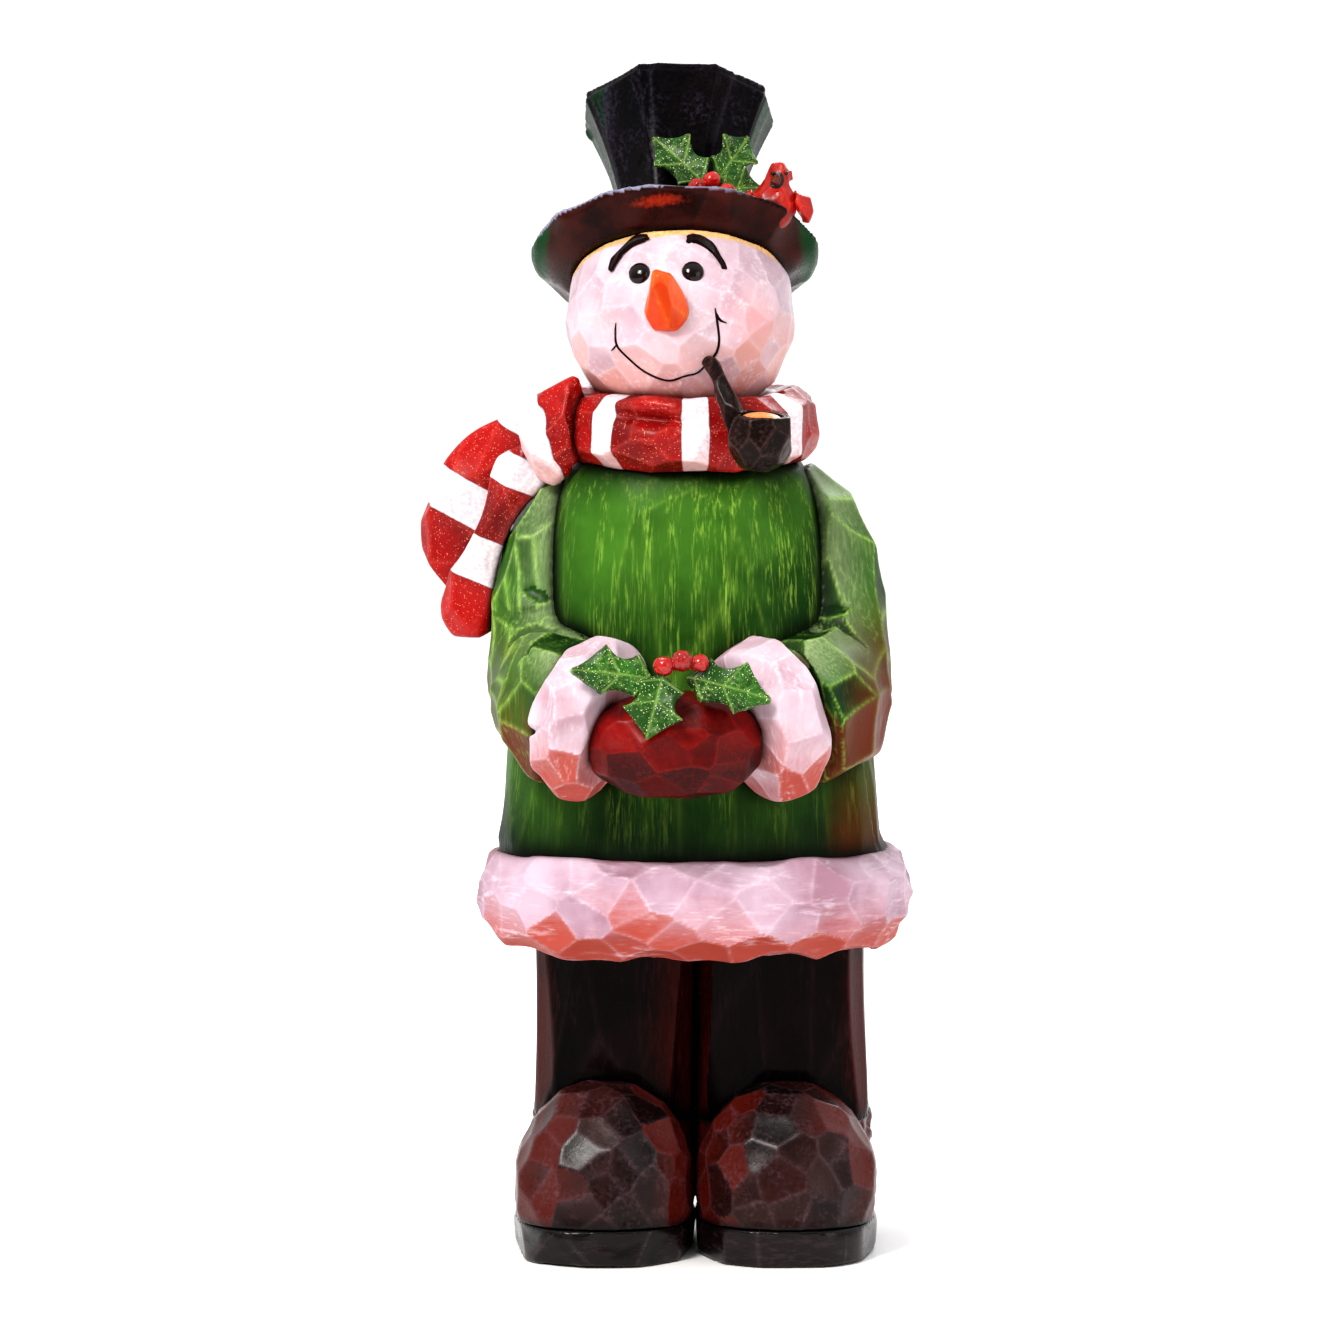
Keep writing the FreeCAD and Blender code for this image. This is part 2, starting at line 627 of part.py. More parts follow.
def arm_rods():
    """Dowel through each cuff from the sleeve into the mitten block."""
    rods = []
    for hand in HANDS.values():
        centre = cuff_centre(hand)
        way = cuff_axis(hand)
        rods.append((centre - way * 45.0, centre + way * 38.0, ARM_DOWEL_RADIUS))
    return rods


def build_everything():
    neck_middle = Vec(HEAD_X, HEAD_Y + 4, NECK_TOP)
    neck = (neck_middle - Vec(0, 0, 50), neck_middle + Vec(0, 0, 45), NECK_DOWEL_RADIUS)
    hat = (on_hat(0, 0, -28.0), on_hat(0, 0, 48.0), DOWEL_RADIUS)
    pegs = face_rods()
    legs = leg_rods()
    arms = arm_rods()

    coat = build_coat([neck, legs[0], legs[2]])
    head = build_head([neck, hat, pegs["nose_peg"], pegs["pipe_pin"]])
    brim = build_brim([hat])
    crown = build_crown([hat])
    add("coat_body", coat)
    add("head", head)
    add("hat_brim", brim)
    add("hat_crown", crown)
    build_hat_holly(crown, brim)
    build_bird(brim)
    build_nose(head, pegs["nose_peg"])
    build_eyes_and_brows(head)

    cuffs = {name: build_cuff(hand, coat) for name, hand in HANDS.items()}
    for name, hand in HANDS.items():
        add(name + "_sleeve", build_sleeve(hand, coat, cuffs[name], arms))
    mittens = build_mittens(coat, list(cuffs.values()))
    build_hand_holly(mittens, list(cuffs.values()))
    for name, cuff in cuffs.items():
        add(name + "_cuff", bored(cuff, arms))
    add("clasped_mittens", bored(mittens, arms))

    build_scarf([head, coat, nodes["left_sleeve"], nodes["right_sleeve"]])
    build_pipe(head, pegs["pipe_pin"], [nodes["scarf_wrap"], coat])

    add("hem_trim", build_hem(coat))
    screws = []
    for name, hand in HANDS.items():
        x = hand * FOOT_WIDTH / 2
        spots = [(x - 30, FOOT_FRONT + 50), (x + 30, FOOT_FRONT + 50), (x, FOOT_BACK - 40)]
        holes = [screw_hole(*spot) for spot in spots]
        screws.extend(sole_screw(*spot) for spot in spots)
        boot = build_boot(name, legs)
        add(name + "_leg", build_leg(name, boot, legs))
        add(name + "_boot", cut_by(boot, *holes))
        add(name + "_sole", build_sole(name, holes))
    add("sole_screws", group(screws))
    add("neck_dowel", rod(*neck))
    add("hat_dowel", rod(*hat))
    add("nose_peg", rod(*pegs["nose_peg"]))
    add("pipe_pin", rod(*pegs["pipe_pin"]))
    add("arm_dowels", group([rod(*arm) for arm in arms]))
    add("leg_dowels", group([rod(*leg) for leg in legs]))


def write_everything():
    """Move the origin to the middle of the bottom of the figure and write each piece."""
    box = FreeCAD.BoundBox()
    for shape in nodes.values():
        box.add(shape.optimalBoundingBox(False, False))
    shift = Vec(-box.Center.x, -box.Center.y, -box.ZMin)
    os.makedirs("parts", exist_ok=True)
    for name, shape in nodes.items():
        shape.translate(shift)
        shape.exportStep("parts/%s.step" % name)
        print("%-24s valid %s solids %d volume %.0f" % (
            name, shape.isValid(), len(shape.Solids), shape.Volume))
    print("size %.1f x %.1f x %.1f" % (box.XLength, box.YLength, box.ZLength))
    print("shift", shift)


build_everything()
write_everything()
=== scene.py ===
import math

import bpy
import numpy as np
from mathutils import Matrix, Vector
from mathutils.bvhtree import BVHTree


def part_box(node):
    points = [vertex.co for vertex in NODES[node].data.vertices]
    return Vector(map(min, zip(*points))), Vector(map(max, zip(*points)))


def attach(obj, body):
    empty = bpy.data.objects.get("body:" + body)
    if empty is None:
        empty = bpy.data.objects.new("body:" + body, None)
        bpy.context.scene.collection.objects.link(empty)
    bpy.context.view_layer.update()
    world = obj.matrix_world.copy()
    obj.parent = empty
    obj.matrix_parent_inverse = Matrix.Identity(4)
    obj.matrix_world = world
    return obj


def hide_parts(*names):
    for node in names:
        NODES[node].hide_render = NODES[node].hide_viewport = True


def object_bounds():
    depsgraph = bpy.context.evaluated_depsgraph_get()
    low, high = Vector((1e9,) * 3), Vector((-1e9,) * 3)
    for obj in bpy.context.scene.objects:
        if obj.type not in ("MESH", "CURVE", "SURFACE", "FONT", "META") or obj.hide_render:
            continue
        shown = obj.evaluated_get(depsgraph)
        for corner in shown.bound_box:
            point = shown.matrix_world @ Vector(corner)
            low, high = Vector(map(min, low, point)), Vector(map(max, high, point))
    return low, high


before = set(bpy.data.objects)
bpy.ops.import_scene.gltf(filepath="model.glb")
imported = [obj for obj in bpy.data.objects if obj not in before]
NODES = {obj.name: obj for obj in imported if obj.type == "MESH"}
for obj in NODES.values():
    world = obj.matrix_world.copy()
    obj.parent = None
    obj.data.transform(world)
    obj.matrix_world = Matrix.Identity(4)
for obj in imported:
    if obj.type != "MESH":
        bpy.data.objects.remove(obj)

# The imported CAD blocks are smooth.  Here each one is remeshed and cut with flat gouge
# facets, then painted.  Sizes are in mm and are turned into metres by MM.
MM = 0.001
FAR = 30.0
CAD_LOW, CAD_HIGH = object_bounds()


# ------------------------------------------------------------------ arrays and meshes

def node_arrays(names):
    """Vertices in mm and triangles of one or more CAD nodes."""
    all_points = []
    all_faces = []
    count = 0
    for name in names:
        mesh = NODES[name].data
        mesh.calc_loop_triangles()
        points = np.zeros(len(mesh.vertices) * 3)
        mesh.vertices.foreach_get("co", points)
        faces = np.zeros(len(mesh.loop_triangles) * 3, dtype=np.int32)
        mesh.loop_triangles.foreach_get("vertices", faces)
        all_points.append(points.reshape(-1, 3) / MM)
        all_faces.append(faces.reshape(-1, 3) + count)
        count += len(mesh.vertices)
    return np.vstack(all_points), np.vstack(all_faces)


def new_object(name, points, faces):
    """Mesh object from points in mm."""
    mesh = bpy.data.meshes.new(name)
    mesh.from_pydata((np.asarray(points) * MM).tolist(), [], [list(map(int, f)) for f in faces])
    mesh.update()
    obj = bpy.data.objects.new(name, mesh)
    bpy.context.scene.collection.objects.link(obj)
    return obj


def remeshed(name, points, faces, voxel):
    """Object with even quads voxel mm across over the given closed surface."""
    rough = new_object(name + "_rough", points, faces)
    remesh = rough.modifiers.new("even", "REMESH")
    remesh.mode = "VOXEL"
    remesh.voxel_size = voxel * MM
    depsgraph = bpy.context.evaluated_depsgraph_get()
    mesh = bpy.data.meshes.new_from_object(rough.evaluated_get(depsgraph))
    mesh.name = name
    bpy.data.objects.remove(rough)
    obj = bpy.data.objects.new(name, mesh)
    bpy.context.scene.collection.objects.link(obj)
    return obj


def get_points(obj):
    points = np.zeros(len(obj.data.vertices) * 3)
    obj.data.vertices.foreach_get("co", points)
    return points.reshape(-1, 3) / MM


def set_points(obj, points):
    obj.data.vertices.foreach_set("co", (points * MM).ravel())
    obj.data.update()


def get_normals(obj):
    normals = np.zeros(len(obj.data.vertices) * 3)
    obj.data.vertices.foreach_get("normal", normals)
    return normals.reshape(-1, 3)


def get_edges(obj):
    edges = np.zeros(len(obj.data.edges) * 2, dtype=np.int64)
    obj.data.edges.foreach_get("vertices", edges)
    return edges.reshape(-1, 2)


def averaged(values, edges, rounds):
    """Values smoothed along the mesh edges."""
    result = values.copy()
    degree = np.bincount(edges.ravel(), minlength=len(values)).astype(float)
    degree = np.maximum(degree, 1.0).reshape(-1, *([1] * (values.ndim - 1)))
    for _ in range(rounds):
        total = np.zeros_like(result)
        np.add.at(total, edges[:, 0], result[edges[:, 1]])
        np.add.at(total, edges[:, 1], result[edges[:, 0]])
        result = 0.5 * result + 0.5 * total / degree
    return result


def unit(vectors):
    return vectors / np.maximum(np.linalg.norm(vectors, axis=-1, keepdims=True), 1e-9)


def store(obj, name, values):
    """Float attribute on the vertices."""
    attribute = obj.data.attributes.new(name, "FLOAT", "POINT")
    attribute.data.foreach_set("value", np.asarray(values, dtype=np.float32))


# --------------------------------------------------------------------------- carving

CARVED = "_carved"
SAME_SIDE = 0.4       # a plane only cuts surface that faces within about 66 degrees of it
FAR_BELOW = 0.4       # and not deeper than this share of a facet
STEEPEST = 0.45       # cosine at which a slanted plane's height stops growing
HOLLOW = 0.24         # how fast a scooped facet curves up from its middle
NEVER = 100.0         # height in mm of a plane that does not cut
CANDIDATES = 14       # nearest planes tried at each vertex
TRIALS = 6000         # vertices tried as facet middles
BATCH = 8000          # vertices worked on at once
OFF_SURFACE = 2.0     # start of the rays that look for open air, in mm
JOINT = 2.5           # blocks closer than this touch each other, in mm
JOINT_FADE = 8.0      # facets reach full depth this far from a joint, in mm


def squeezed(vectors, axis, factor):
    """Vectors with their part along axis divided by factor."""
    return vectors - (vectors @ axis)[..., None] * axis * (1.0 - 1.0 / factor)


def in_the_open(obj, points, normals, reach):
    """True where the CAD node behind a block has nothing within reach mm in front of it."""
    block_points, block_faces = node_arrays([obj.name[:-len(CARVED)]])
    tree = BVHTree.FromPolygons(block_points.tolist(), block_faces.tolist())
    seen = np.ones(len(points), dtype=bool)
    for index, (place, normal) in enumerate(zip(points, normals)):
        start = Vector(place) + Vector(normal) * OFF_SURFACE
        seen[index] = tree.ray_cast(start, Vector(normal), reach)[0] is None
    return seen


def scattered_seeds(points, allowed, cell, rng):
    """Indices of allowed points at irregular spacing, about cell apart."""
    kept = np.zeros((0, 3))
    chosen = []
    for index in rng.permutation(allowed):
        place = points[index]
        gap = cell * rng.uniform(0.75, 1.15)
        if len(kept) == 0 or np.min(np.sum((kept - place) ** 2, axis=1)) > gap * gap:
            kept = np.vstack([kept, place])
            chosen.append(index)
    return np.array(chosen)


def carve(obj, cell, scoop=0.5, tilt=0.05, depth=0.35, axis=(0, 0, 1), factor=1.0, seed=1,
          soft=0.25, amount=1.0, limit=0.16, fine=0.035, covered=False):
    """Cut the surface into gouge facets about cell mm across and factor times longer along axis.

    Each facet is the tangent plane at a scattered point, tilted a little and scooped; the
    lowest plane wins at each vertex.  No facet starts inside a bore or where covered is
    true.  amount is a strength for each vertex.  Four attributes are kept: ridge, 1 where
    two facets meet, cell, a random tone for each facet, under, 1 where the block faces the
    floor, and side, 1 where it faces left or right.
    """
    rng = np.random.default_rng(seed)
    points = get_points(obj)
    edges = get_edges(obj)
    normals = unit(averaged(get_normals(obj), edges, 6))
    broad = unit(averaged(normals, edges, 24))
    axis = unit(np.asarray(axis, dtype=float))
    metric_points = squeezed(points, axis, factor)
    uncovered = np.flatnonzero(~np.broadcast_to(covered, len(points)))
    trial = rng.permutation(uncovered)[:TRIALS]
    trial = trial[in_the_open(obj, points[trial], normals[trial], 1.5 * cell)]
    chosen = scattered_seeds(metric_points, trial, cell, rng)
    seeds = metric_points[chosen]
    planes = unit(broad[chosen] + rng.normal(0.0, tilt, (len(chosen), 3)))
    lift = rng.normal(0.0, depth, len(chosen))
    tone = rng.uniform(0.0, 1.0, len(chosen))
    bend = HOLLOW * scoop / cell
    near = min(CANDIDATES, len(chosen))
    height = np.zeros(len(points))
    second = np.zeros(len(points))
    owner = np.zeros(len(points), dtype=int)
    for start in range(0, len(points), BATCH):
        part = slice(start, start + BATCH)
        away = metric_points[part][:, None, :] - seeds[None, :, :]
        gap = np.sum(away ** 2, axis=2)
        closest = np.argpartition(gap, near - 1, axis=1)[:, :near]
        plane = planes[closest]
        toward = -np.take_along_axis(away, closest[:, :, None], axis=1)
        drop = np.sum(plane * toward, axis=2)
        facing = np.sum(plane * normals[part][:, None, :], axis=2)
        rise = drop / np.maximum(facing, STEEPEST) + lift[closest]
        rise = rise + bend * np.take_along_axis(gap, closest, axis=1)
        rise = np.where((facing < SAME_SIDE) | (rise < -FAR_BELOW * cell), NEVER, rise)
        order = np.sort(rise, axis=1)
        low = order[:, :1]
        height[part] = low[:, 0] - soft * np.log(np.sum(np.exp(-(rise - low) / soft), axis=1))
        second[part] = order[:, 1] - order[:, 0]
        owner[part] = closest[np.arange(len(low)), np.argmin(rise, axis=1)]
    height = np.where(height > NEVER / 2, 0.0, height - np.median(height))
    height = amount * limit * cell * np.tanh(height / (limit * cell))
    height = averaged(height[:, None], edges, 2)
    set_points(obj, points + normals * height)
    store(obj, "ridge", np.exp(-second / (cell * fine)))
    store(obj, "cell", tone[owner])
    facet = planes[owner]
    store(obj, "under", np.clip(0.5 - 0.375 * (broad[:, 2] + facet[:, 2]), 0.0, 1.0))
    store(obj, "side", 0.5 * np.abs(broad[:, 0]) + 0.5 * np.abs(facet[:, 0]))


def neighbour_gap(obj, names):
    """Distance in mm from each vertex to the nearest of the other blocks, and the way into it."""
    points = get_points(obj)
    gap = np.full(len(points), FAR)
    inward = np.zeros_like(points)
    if names:
        other_points, other_faces = node_arrays(names)
        tree = BVHTree.FromPolygons(other_points.tolist(), other_faces.tolist())
        for index, place in enumerate(points):
            _, normal, _, distance = tree.find_nearest(Vector(place), FAR)
            if distance is not None:
                gap[index] = distance
                inward[index] = -normal
    return gap, inward


def fade_out(gap, reach):
    """1 against a neighbour, falling to 0 over reach mm."""
    return np.exp(-(gap / reach) ** 1.5)


def swell(obj, spots):
    """Push the surface out (or in) around spots: (centre, radius, amount)."""
    points = get_points(obj)
    normals = unit(averaged(get_normals(obj), get_edges(obj), 8))
    push = np.zeros(len(points))
    for centre, radius, amount in spots:
        gap = np.sum((points - np.asarray(centre)) ** 2, axis=1)
        push += amount * np.exp(-gap / (radius * radius))
    set_points(obj, points + normals * push[:, None])


def relax(obj, rounds):
    set_points(obj, averaged(get_points(obj), get_edges(obj), rounds))


def block(name, voxel, smooth=2):
    """Even mesh over a CAD node that then stands for that node."""
    points, faces = node_arrays([name])
    obj = remeshed(name + CARVED, points, faces, voxel)
    relax(obj, smooth)
    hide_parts(name)
    return obj


def dress(obj, material):
    """Smooth shading, material and body."""
    obj.data.polygons.foreach_set("use_smooth", [True] * len(obj.data.polygons))
    obj.data.materials.clear()
    obj.data.materials.append(MATERIALS[material])
    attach(obj, "root")
    return obj


def finish_piece(obj, material, slot, near, reach, cell, into=(), tuck=4.0, strength=1.0,
                 **carving):
    """Carve a block, run its joints into the blocks it was fitted to, paint shade along them, paint
    it.
    """
    gap, _ = neighbour_gap(obj, near)
    joint, inward = neighbour_gap(obj, into)
    amount = strength * np.clip(gap / JOINT_FADE, 0.1, 1.0)
    carve(obj, cell, amount=amount, covered=gap < JOINT, **carving)
    push = tuck * np.clip(1.0 - joint / JOINT, 0.0, 1.0)
    set_points(obj, get_points(obj) + inward * push[:, None])
    # painted shade: darkest against the neighbouring blocks, fading out over reach mm
    store(obj, "crease", fade_out(gap, reach))
    return dress(obj, material)


def middle(name):
    """Centre of a CAD node's box in mm."""
    low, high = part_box(name)
    return (low + high) * 0.5 / MM


def size(name):
    low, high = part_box(name)
    return (high - low) / MM


# ------------------------------------------------------------------------- materials

class Shader:
    """Short way to write node materials."""

    def __init__(self, name):
        self.material = bpy.data.materials.new(name)
        self.material.use_nodes = True
        self.tree = self.material.node_tree
        self.surface = self.tree.nodes["Principled BSDF"]
        self.place = self.node("ShaderNodeTexCoord").outputs["Object"]

    def put(self, socket, value):
        if isinstance(value, bpy.types.NodeSocket):
            self.tree.links.new(value, socket)
        else:
            socket.default_value = value

    def node(self, kind, settings=None, **values):
        made = self.tree.nodes.new(kind)
        for key, value in (settings or {}).items():
            setattr(made, key, value)
        for key, value in values.items():
            self.put(made.inputs[key.replace("_", " ")], value)
        return made

    def set(self, **values):
        for key, value in values.items():
            self.put(self.surface.inputs[key.replace("_", " ")], value)

    def stretched(self, scale):
        return self.node("ShaderNodeMapping", None, Vector=self.place, Scale=scale).outputs[0]

    def noise(self, scale, detail=4.0, rough=0.55, stretch=(1, 1, 1), distortion=0.0):
        vector = self.stretched(stretch)
        return self.node("ShaderNodeTexNoise", None, Vector=vector, Scale=scale, Detail=detail,
                         Roughness=rough, Distortion=distortion).outputs[0]

    def attribute(self, name):
        return self.node("ShaderNodeAttribute", {"attribute_name": name}).outputs["Fac"]

    def math(self, operation, a, b=0.0, clamp=False):
        made = self.tree.nodes.new("ShaderNodeMath")
        made.operation = operation
        made.use_clamp = clamp
        self.put(made.inputs[0], a)
        self.put(made.inputs[1], b)
        return made.outputs[0]

    def span(self, value, low, high, start=0.0, end=1.0):
        """value mapped smoothly from low..high to start..end."""
        made = self.node("ShaderNodeMapRange", {"interpolation_type": "SMOOTHSTEP"},
                         Value=value, From_Min=low, From_Max=high, To_Min=start, To_Max=end)
        return made.outputs[0]

    def mix(self, factor, a, b):
        made = self.tree.nodes.new("ShaderNodeMix")
        made.data_type = "RGBA"
        self.put(made.inputs[0], factor)
        self.put(made.inputs[6], a)
        self.put(made.inputs[7], b)
        return made.outputs[2]

    def bump(self, height, distance, normal=None):
        made = self.node("ShaderNodeBump", None, Height=height, Distance=distance * MM, Strength=1.0)
        if normal is not None:
            self.put(made.inputs["Normal"], normal)
        return made.outputs[0]


def colour(red, green, blue):
    """Linear colour from screen values 0-255."""
    def linear(value):
        value = value / 255.0
        return value / 12.92 if value <= 0.04045 else ((value + 0.055) / 1.055) ** 2.4
    return (linear(red), linear(green), linear(blue), 1.0)


def paint(name, dark, mid, light, shade_colour, below=None, below_span=(0.42, 0.95), sides=None,
          side_span=(0.4, 0.9), grain=300.0, stretch=(1, 1, 1), ridge=0.6, streaks=0.5, cells=0.3,
          rough=(0.3, 0.5), patch_scale=14.0, shine=0.25, coat=0.06, extra=None):
    """Antiqued hand-painted wood: patches, brush streaks, worn ridges, painted shade at the joints.

    below tints the facets that face the floor with painted shade, and sides tints the
    ones that face left or right with a painted reflection.
    """
    shader = Shader(name)
    patch = shader.noise(patch_scale, 5.0)
    bristle = shader.noise(grain, 5.0, 0.65, stretch)
    broad_stroke = shader.noise(grain * 0.16, 4.0, 0.6, stretch, 0.3)
    tone = shader.math("MULTIPLY", shader.math("SUBTRACT", shader.attribute("cell"), 0.5), cells)
    base = shader.math("ADD", shader.span(patch, 0.3, 0.7), tone, clamp=True)
    tint = shader.mix(base, dark, mid)
    ragged = shader.math("ADD", tone, shader.span(bristle, 0.3, 0.7, -0.06, 0.06))
    # sides: painted reflection on the facets that face left or right
    if sides:
        turned = shader.math("ADD", shader.attribute("side"), ragged)
        tint = shader.mix(shader.span(turned, *side_span), tint, sides)
    # below: painted shade on the facets that face the floor
    if below:
        floor_side_shade = shader.math("ADD", shader.attribute("under"), ragged)
        tint = shader.mix(shader.span(floor_side_shade, *below_span), tint, below)
    stroke = shader.math("MULTIPLY", shader.span(bristle, 0.46, 0.68),
                         shader.span(broad_stroke, 0.42, 0.62))
    stroke = shader.math("MULTIPLY", stroke, streaks)
    worn = shader.math("MULTIPLY", shader.attribute("ridge"), shader.span(bristle, 0.3, 0.6, 0.4, 1))
    worn = shader.math("MULTIPLY", worn, ridge)
    tint = shader.mix(shader.math("ADD", stroke, worn, clamp=True), tint, light)
    if extra:
        tint = extra(shader, tint, bristle)
    # painted shade where the block meets its neighbours
    shade = shader.math("MULTIPLY", shader.attribute("crease"),
                        shader.span(patch, 0.2, 0.6, 0.75, 1.0))
    tint = shader.mix(shade, tint, shade_colour)
    shader.set(Base_Color=tint, Specular_IOR_Level=shine, Coat_Weight=coat, Coat_Roughness=0.18)
    shader.set(Roughness=shader.span(bristle, 0.3, 0.7, rough[0], rough[1]))
    fine = shader.noise(900.0, 3.0)
    height = shader.bump(bristle, 0.15)
    shader.set(Normal=shader.bump(fine, 0.05, height))
    return shader.material


VERTICAL = (1.0, 1.0, 0.07)
SIDEWAYS = (0.2, 0.2, 1.0)


def glitter(shader, tint, glint, share=0.02):
    """Fine glitter flakes, painted as pale glints."""
    flakes = shader.node("ShaderNodeTexVoronoi", None, Vector=shader.place, Scale=2000.0)
    split = shader.node("ShaderNodeSeparateColor", None, Color=flakes.outputs["Color"])
    chosen = shader.span(split.outputs[0], 1.0 - share, 1.01 - share)
    return shader.mix(chosen, tint, glint)


def scarf_stripes(shader, tint, bristle):
    """White cross stripes where the stripe attribute runs above a half, glitter painted as pale
    glints on the red.
    """
    wobble = shader.math("MULTIPLY", shader.math("SUBTRACT", bristle, 0.5), 0.06)
    edge = shader.math("ADD", shader.attribute("stripe"), wobble)
    white = shader.span(edge, 0.47, 0.53)
    white_paint_and_highlight = shader.mix(shader.span(bristle, 0.3, 0.7), colour(210, 188, 196), colour(238, 230, 236))
    # painted shade on the downward facets of the white stripes
    white_paint_and_highlight = shader.mix(shader.span(shader.attribute("under"), 0.55, 0.95, 0.0, 0.6), white_paint_and_highlight,
                       colour(196, 120, 108))
    sparkle = glitter(shader, tint, colour(250, 150, 130), 0.02)
    outline = shader.span(shader.math("ABSOLUTE", shader.math("SUBTRACT", edge, 0.5)), 0.0, 0.12,
                          0.6, 0.0)
    return shader.mix(outline, shader.mix(white, sparkle, white_paint_and_highlight), colour(70, 6, 6))


def coat_gloom(shader, tint, bristle):
    """Painted shade below the scarf, and darker towards the hem, in upright streaks."""
    streak = shader.span(bristle, 0.3, 0.7, 0.75, 1.0)
    return shader.mix(shader.math("MULTIPLY", shader.attribute("gloom"), streak), tint,
                      colour(10, 22, 12))


def coat_painted_light(shader, tint, bristle):
    """Painted shade, a painted highlight on facets near the cuffs and a painted warm reflection low
    on the outside.
    """
    tint = coat_gloom(shader, tint, bristle)
    facet = shader.span(shader.attribute("cell"), 0.1, 0.6)
    # painted highlight on some facets near the cuffs
    pale = shader.math("MULTIPLY", shader.attribute("pale"), facet)
    pale = shader.math("MULTIPLY", pale, shader.span(bristle, 0.3, 0.65, 0.55, 1.0))
    tint = shader.mix(pale, tint, colour(184, 198, 150))
    # painted warm reflection low on the outside
    rust = shader.math("MULTIPLY", shader.attribute("rust"), shader.span(bristle, 0.3, 0.6, 0.6, 1))
    return shader.mix(rust, tint, colour(104, 36, 12))


def face_colours(shader, tint, bristle):
    """Rosy cheeks and chin, and the bare tan band below the hat."""
    tint = shader.mix(shader.attribute("rosy"), tint, colour(232, 150, 142))
    tan = shader.mix(shader.span(bristle, 0.3, 0.7), colour(210, 158, 96), colour(236, 196, 144))
    return shader.mix(shader.span(shader.attribute("band"), 0.25, 0.5), tint, tan)


def hat_colours(shader, tint, bristle):
    """Maroon under the brim, a painted orange-red reflection, painted green reflections on the tips
    and a painted highlight on the front edge.
    """
    facet = shader.attribute("cell")
    warm = shader.math("ADD", shader.span(shader.noise(30.0, 3.0), 0.35, 0.65, 0.0, 0.5),
                       shader.math("MULTIPLY", facet, 0.5))
    lining = shader.mix(warm, colour(12, 4, 4), colour(66, 22, 16))
    tint = shader.mix(shader.attribute("lining"), tint, lining)
    # painted orange-red reflection under the front of the brim
    patch = shader.math("ADD", shader.attribute("glow"), shader.math("MULTIPLY", facet, 0.4))
    patch = shader.math("ADD", patch, shader.span(bristle, 0.3, 0.7, -0.15, 0.15))
    tint = shader.mix(shader.span(patch, 0.6, 1.2, 0.0, 0.8), tint, colour(160, 44, 22))
    # painted green reflection on the brim's ends
    tint = shader.mix(shader.attribute("tip"), tint, colour(16, 58, 26))
    # painted highlight along the front left edge of the brim
    white_paint_and_highlight = shader.math("MULTIPLY", shader.attribute("edge"),
                        shader.span(bristle, 0.25, 0.6, 0.6, 0.9))
    return shader.mix(white_paint_and_highlight, tint, colour(150, 148, 172))


def holly_colours(shader, tint, bristle):
    """Pale veins and a little glitter painted as pale glints."""
    veined = shader.mix(shader.attribute("vein"), tint, colour(150, 186, 92))
    return glitter(shader, veined, colour(232, 244, 190), 0.03)


def bird_mask(shader, tint, bristle):
    """Black round the beak."""
    return shader.mix(shader.span(shader.attribute("mask"), 0.4, 0.6), tint, colour(26, 6, 6))


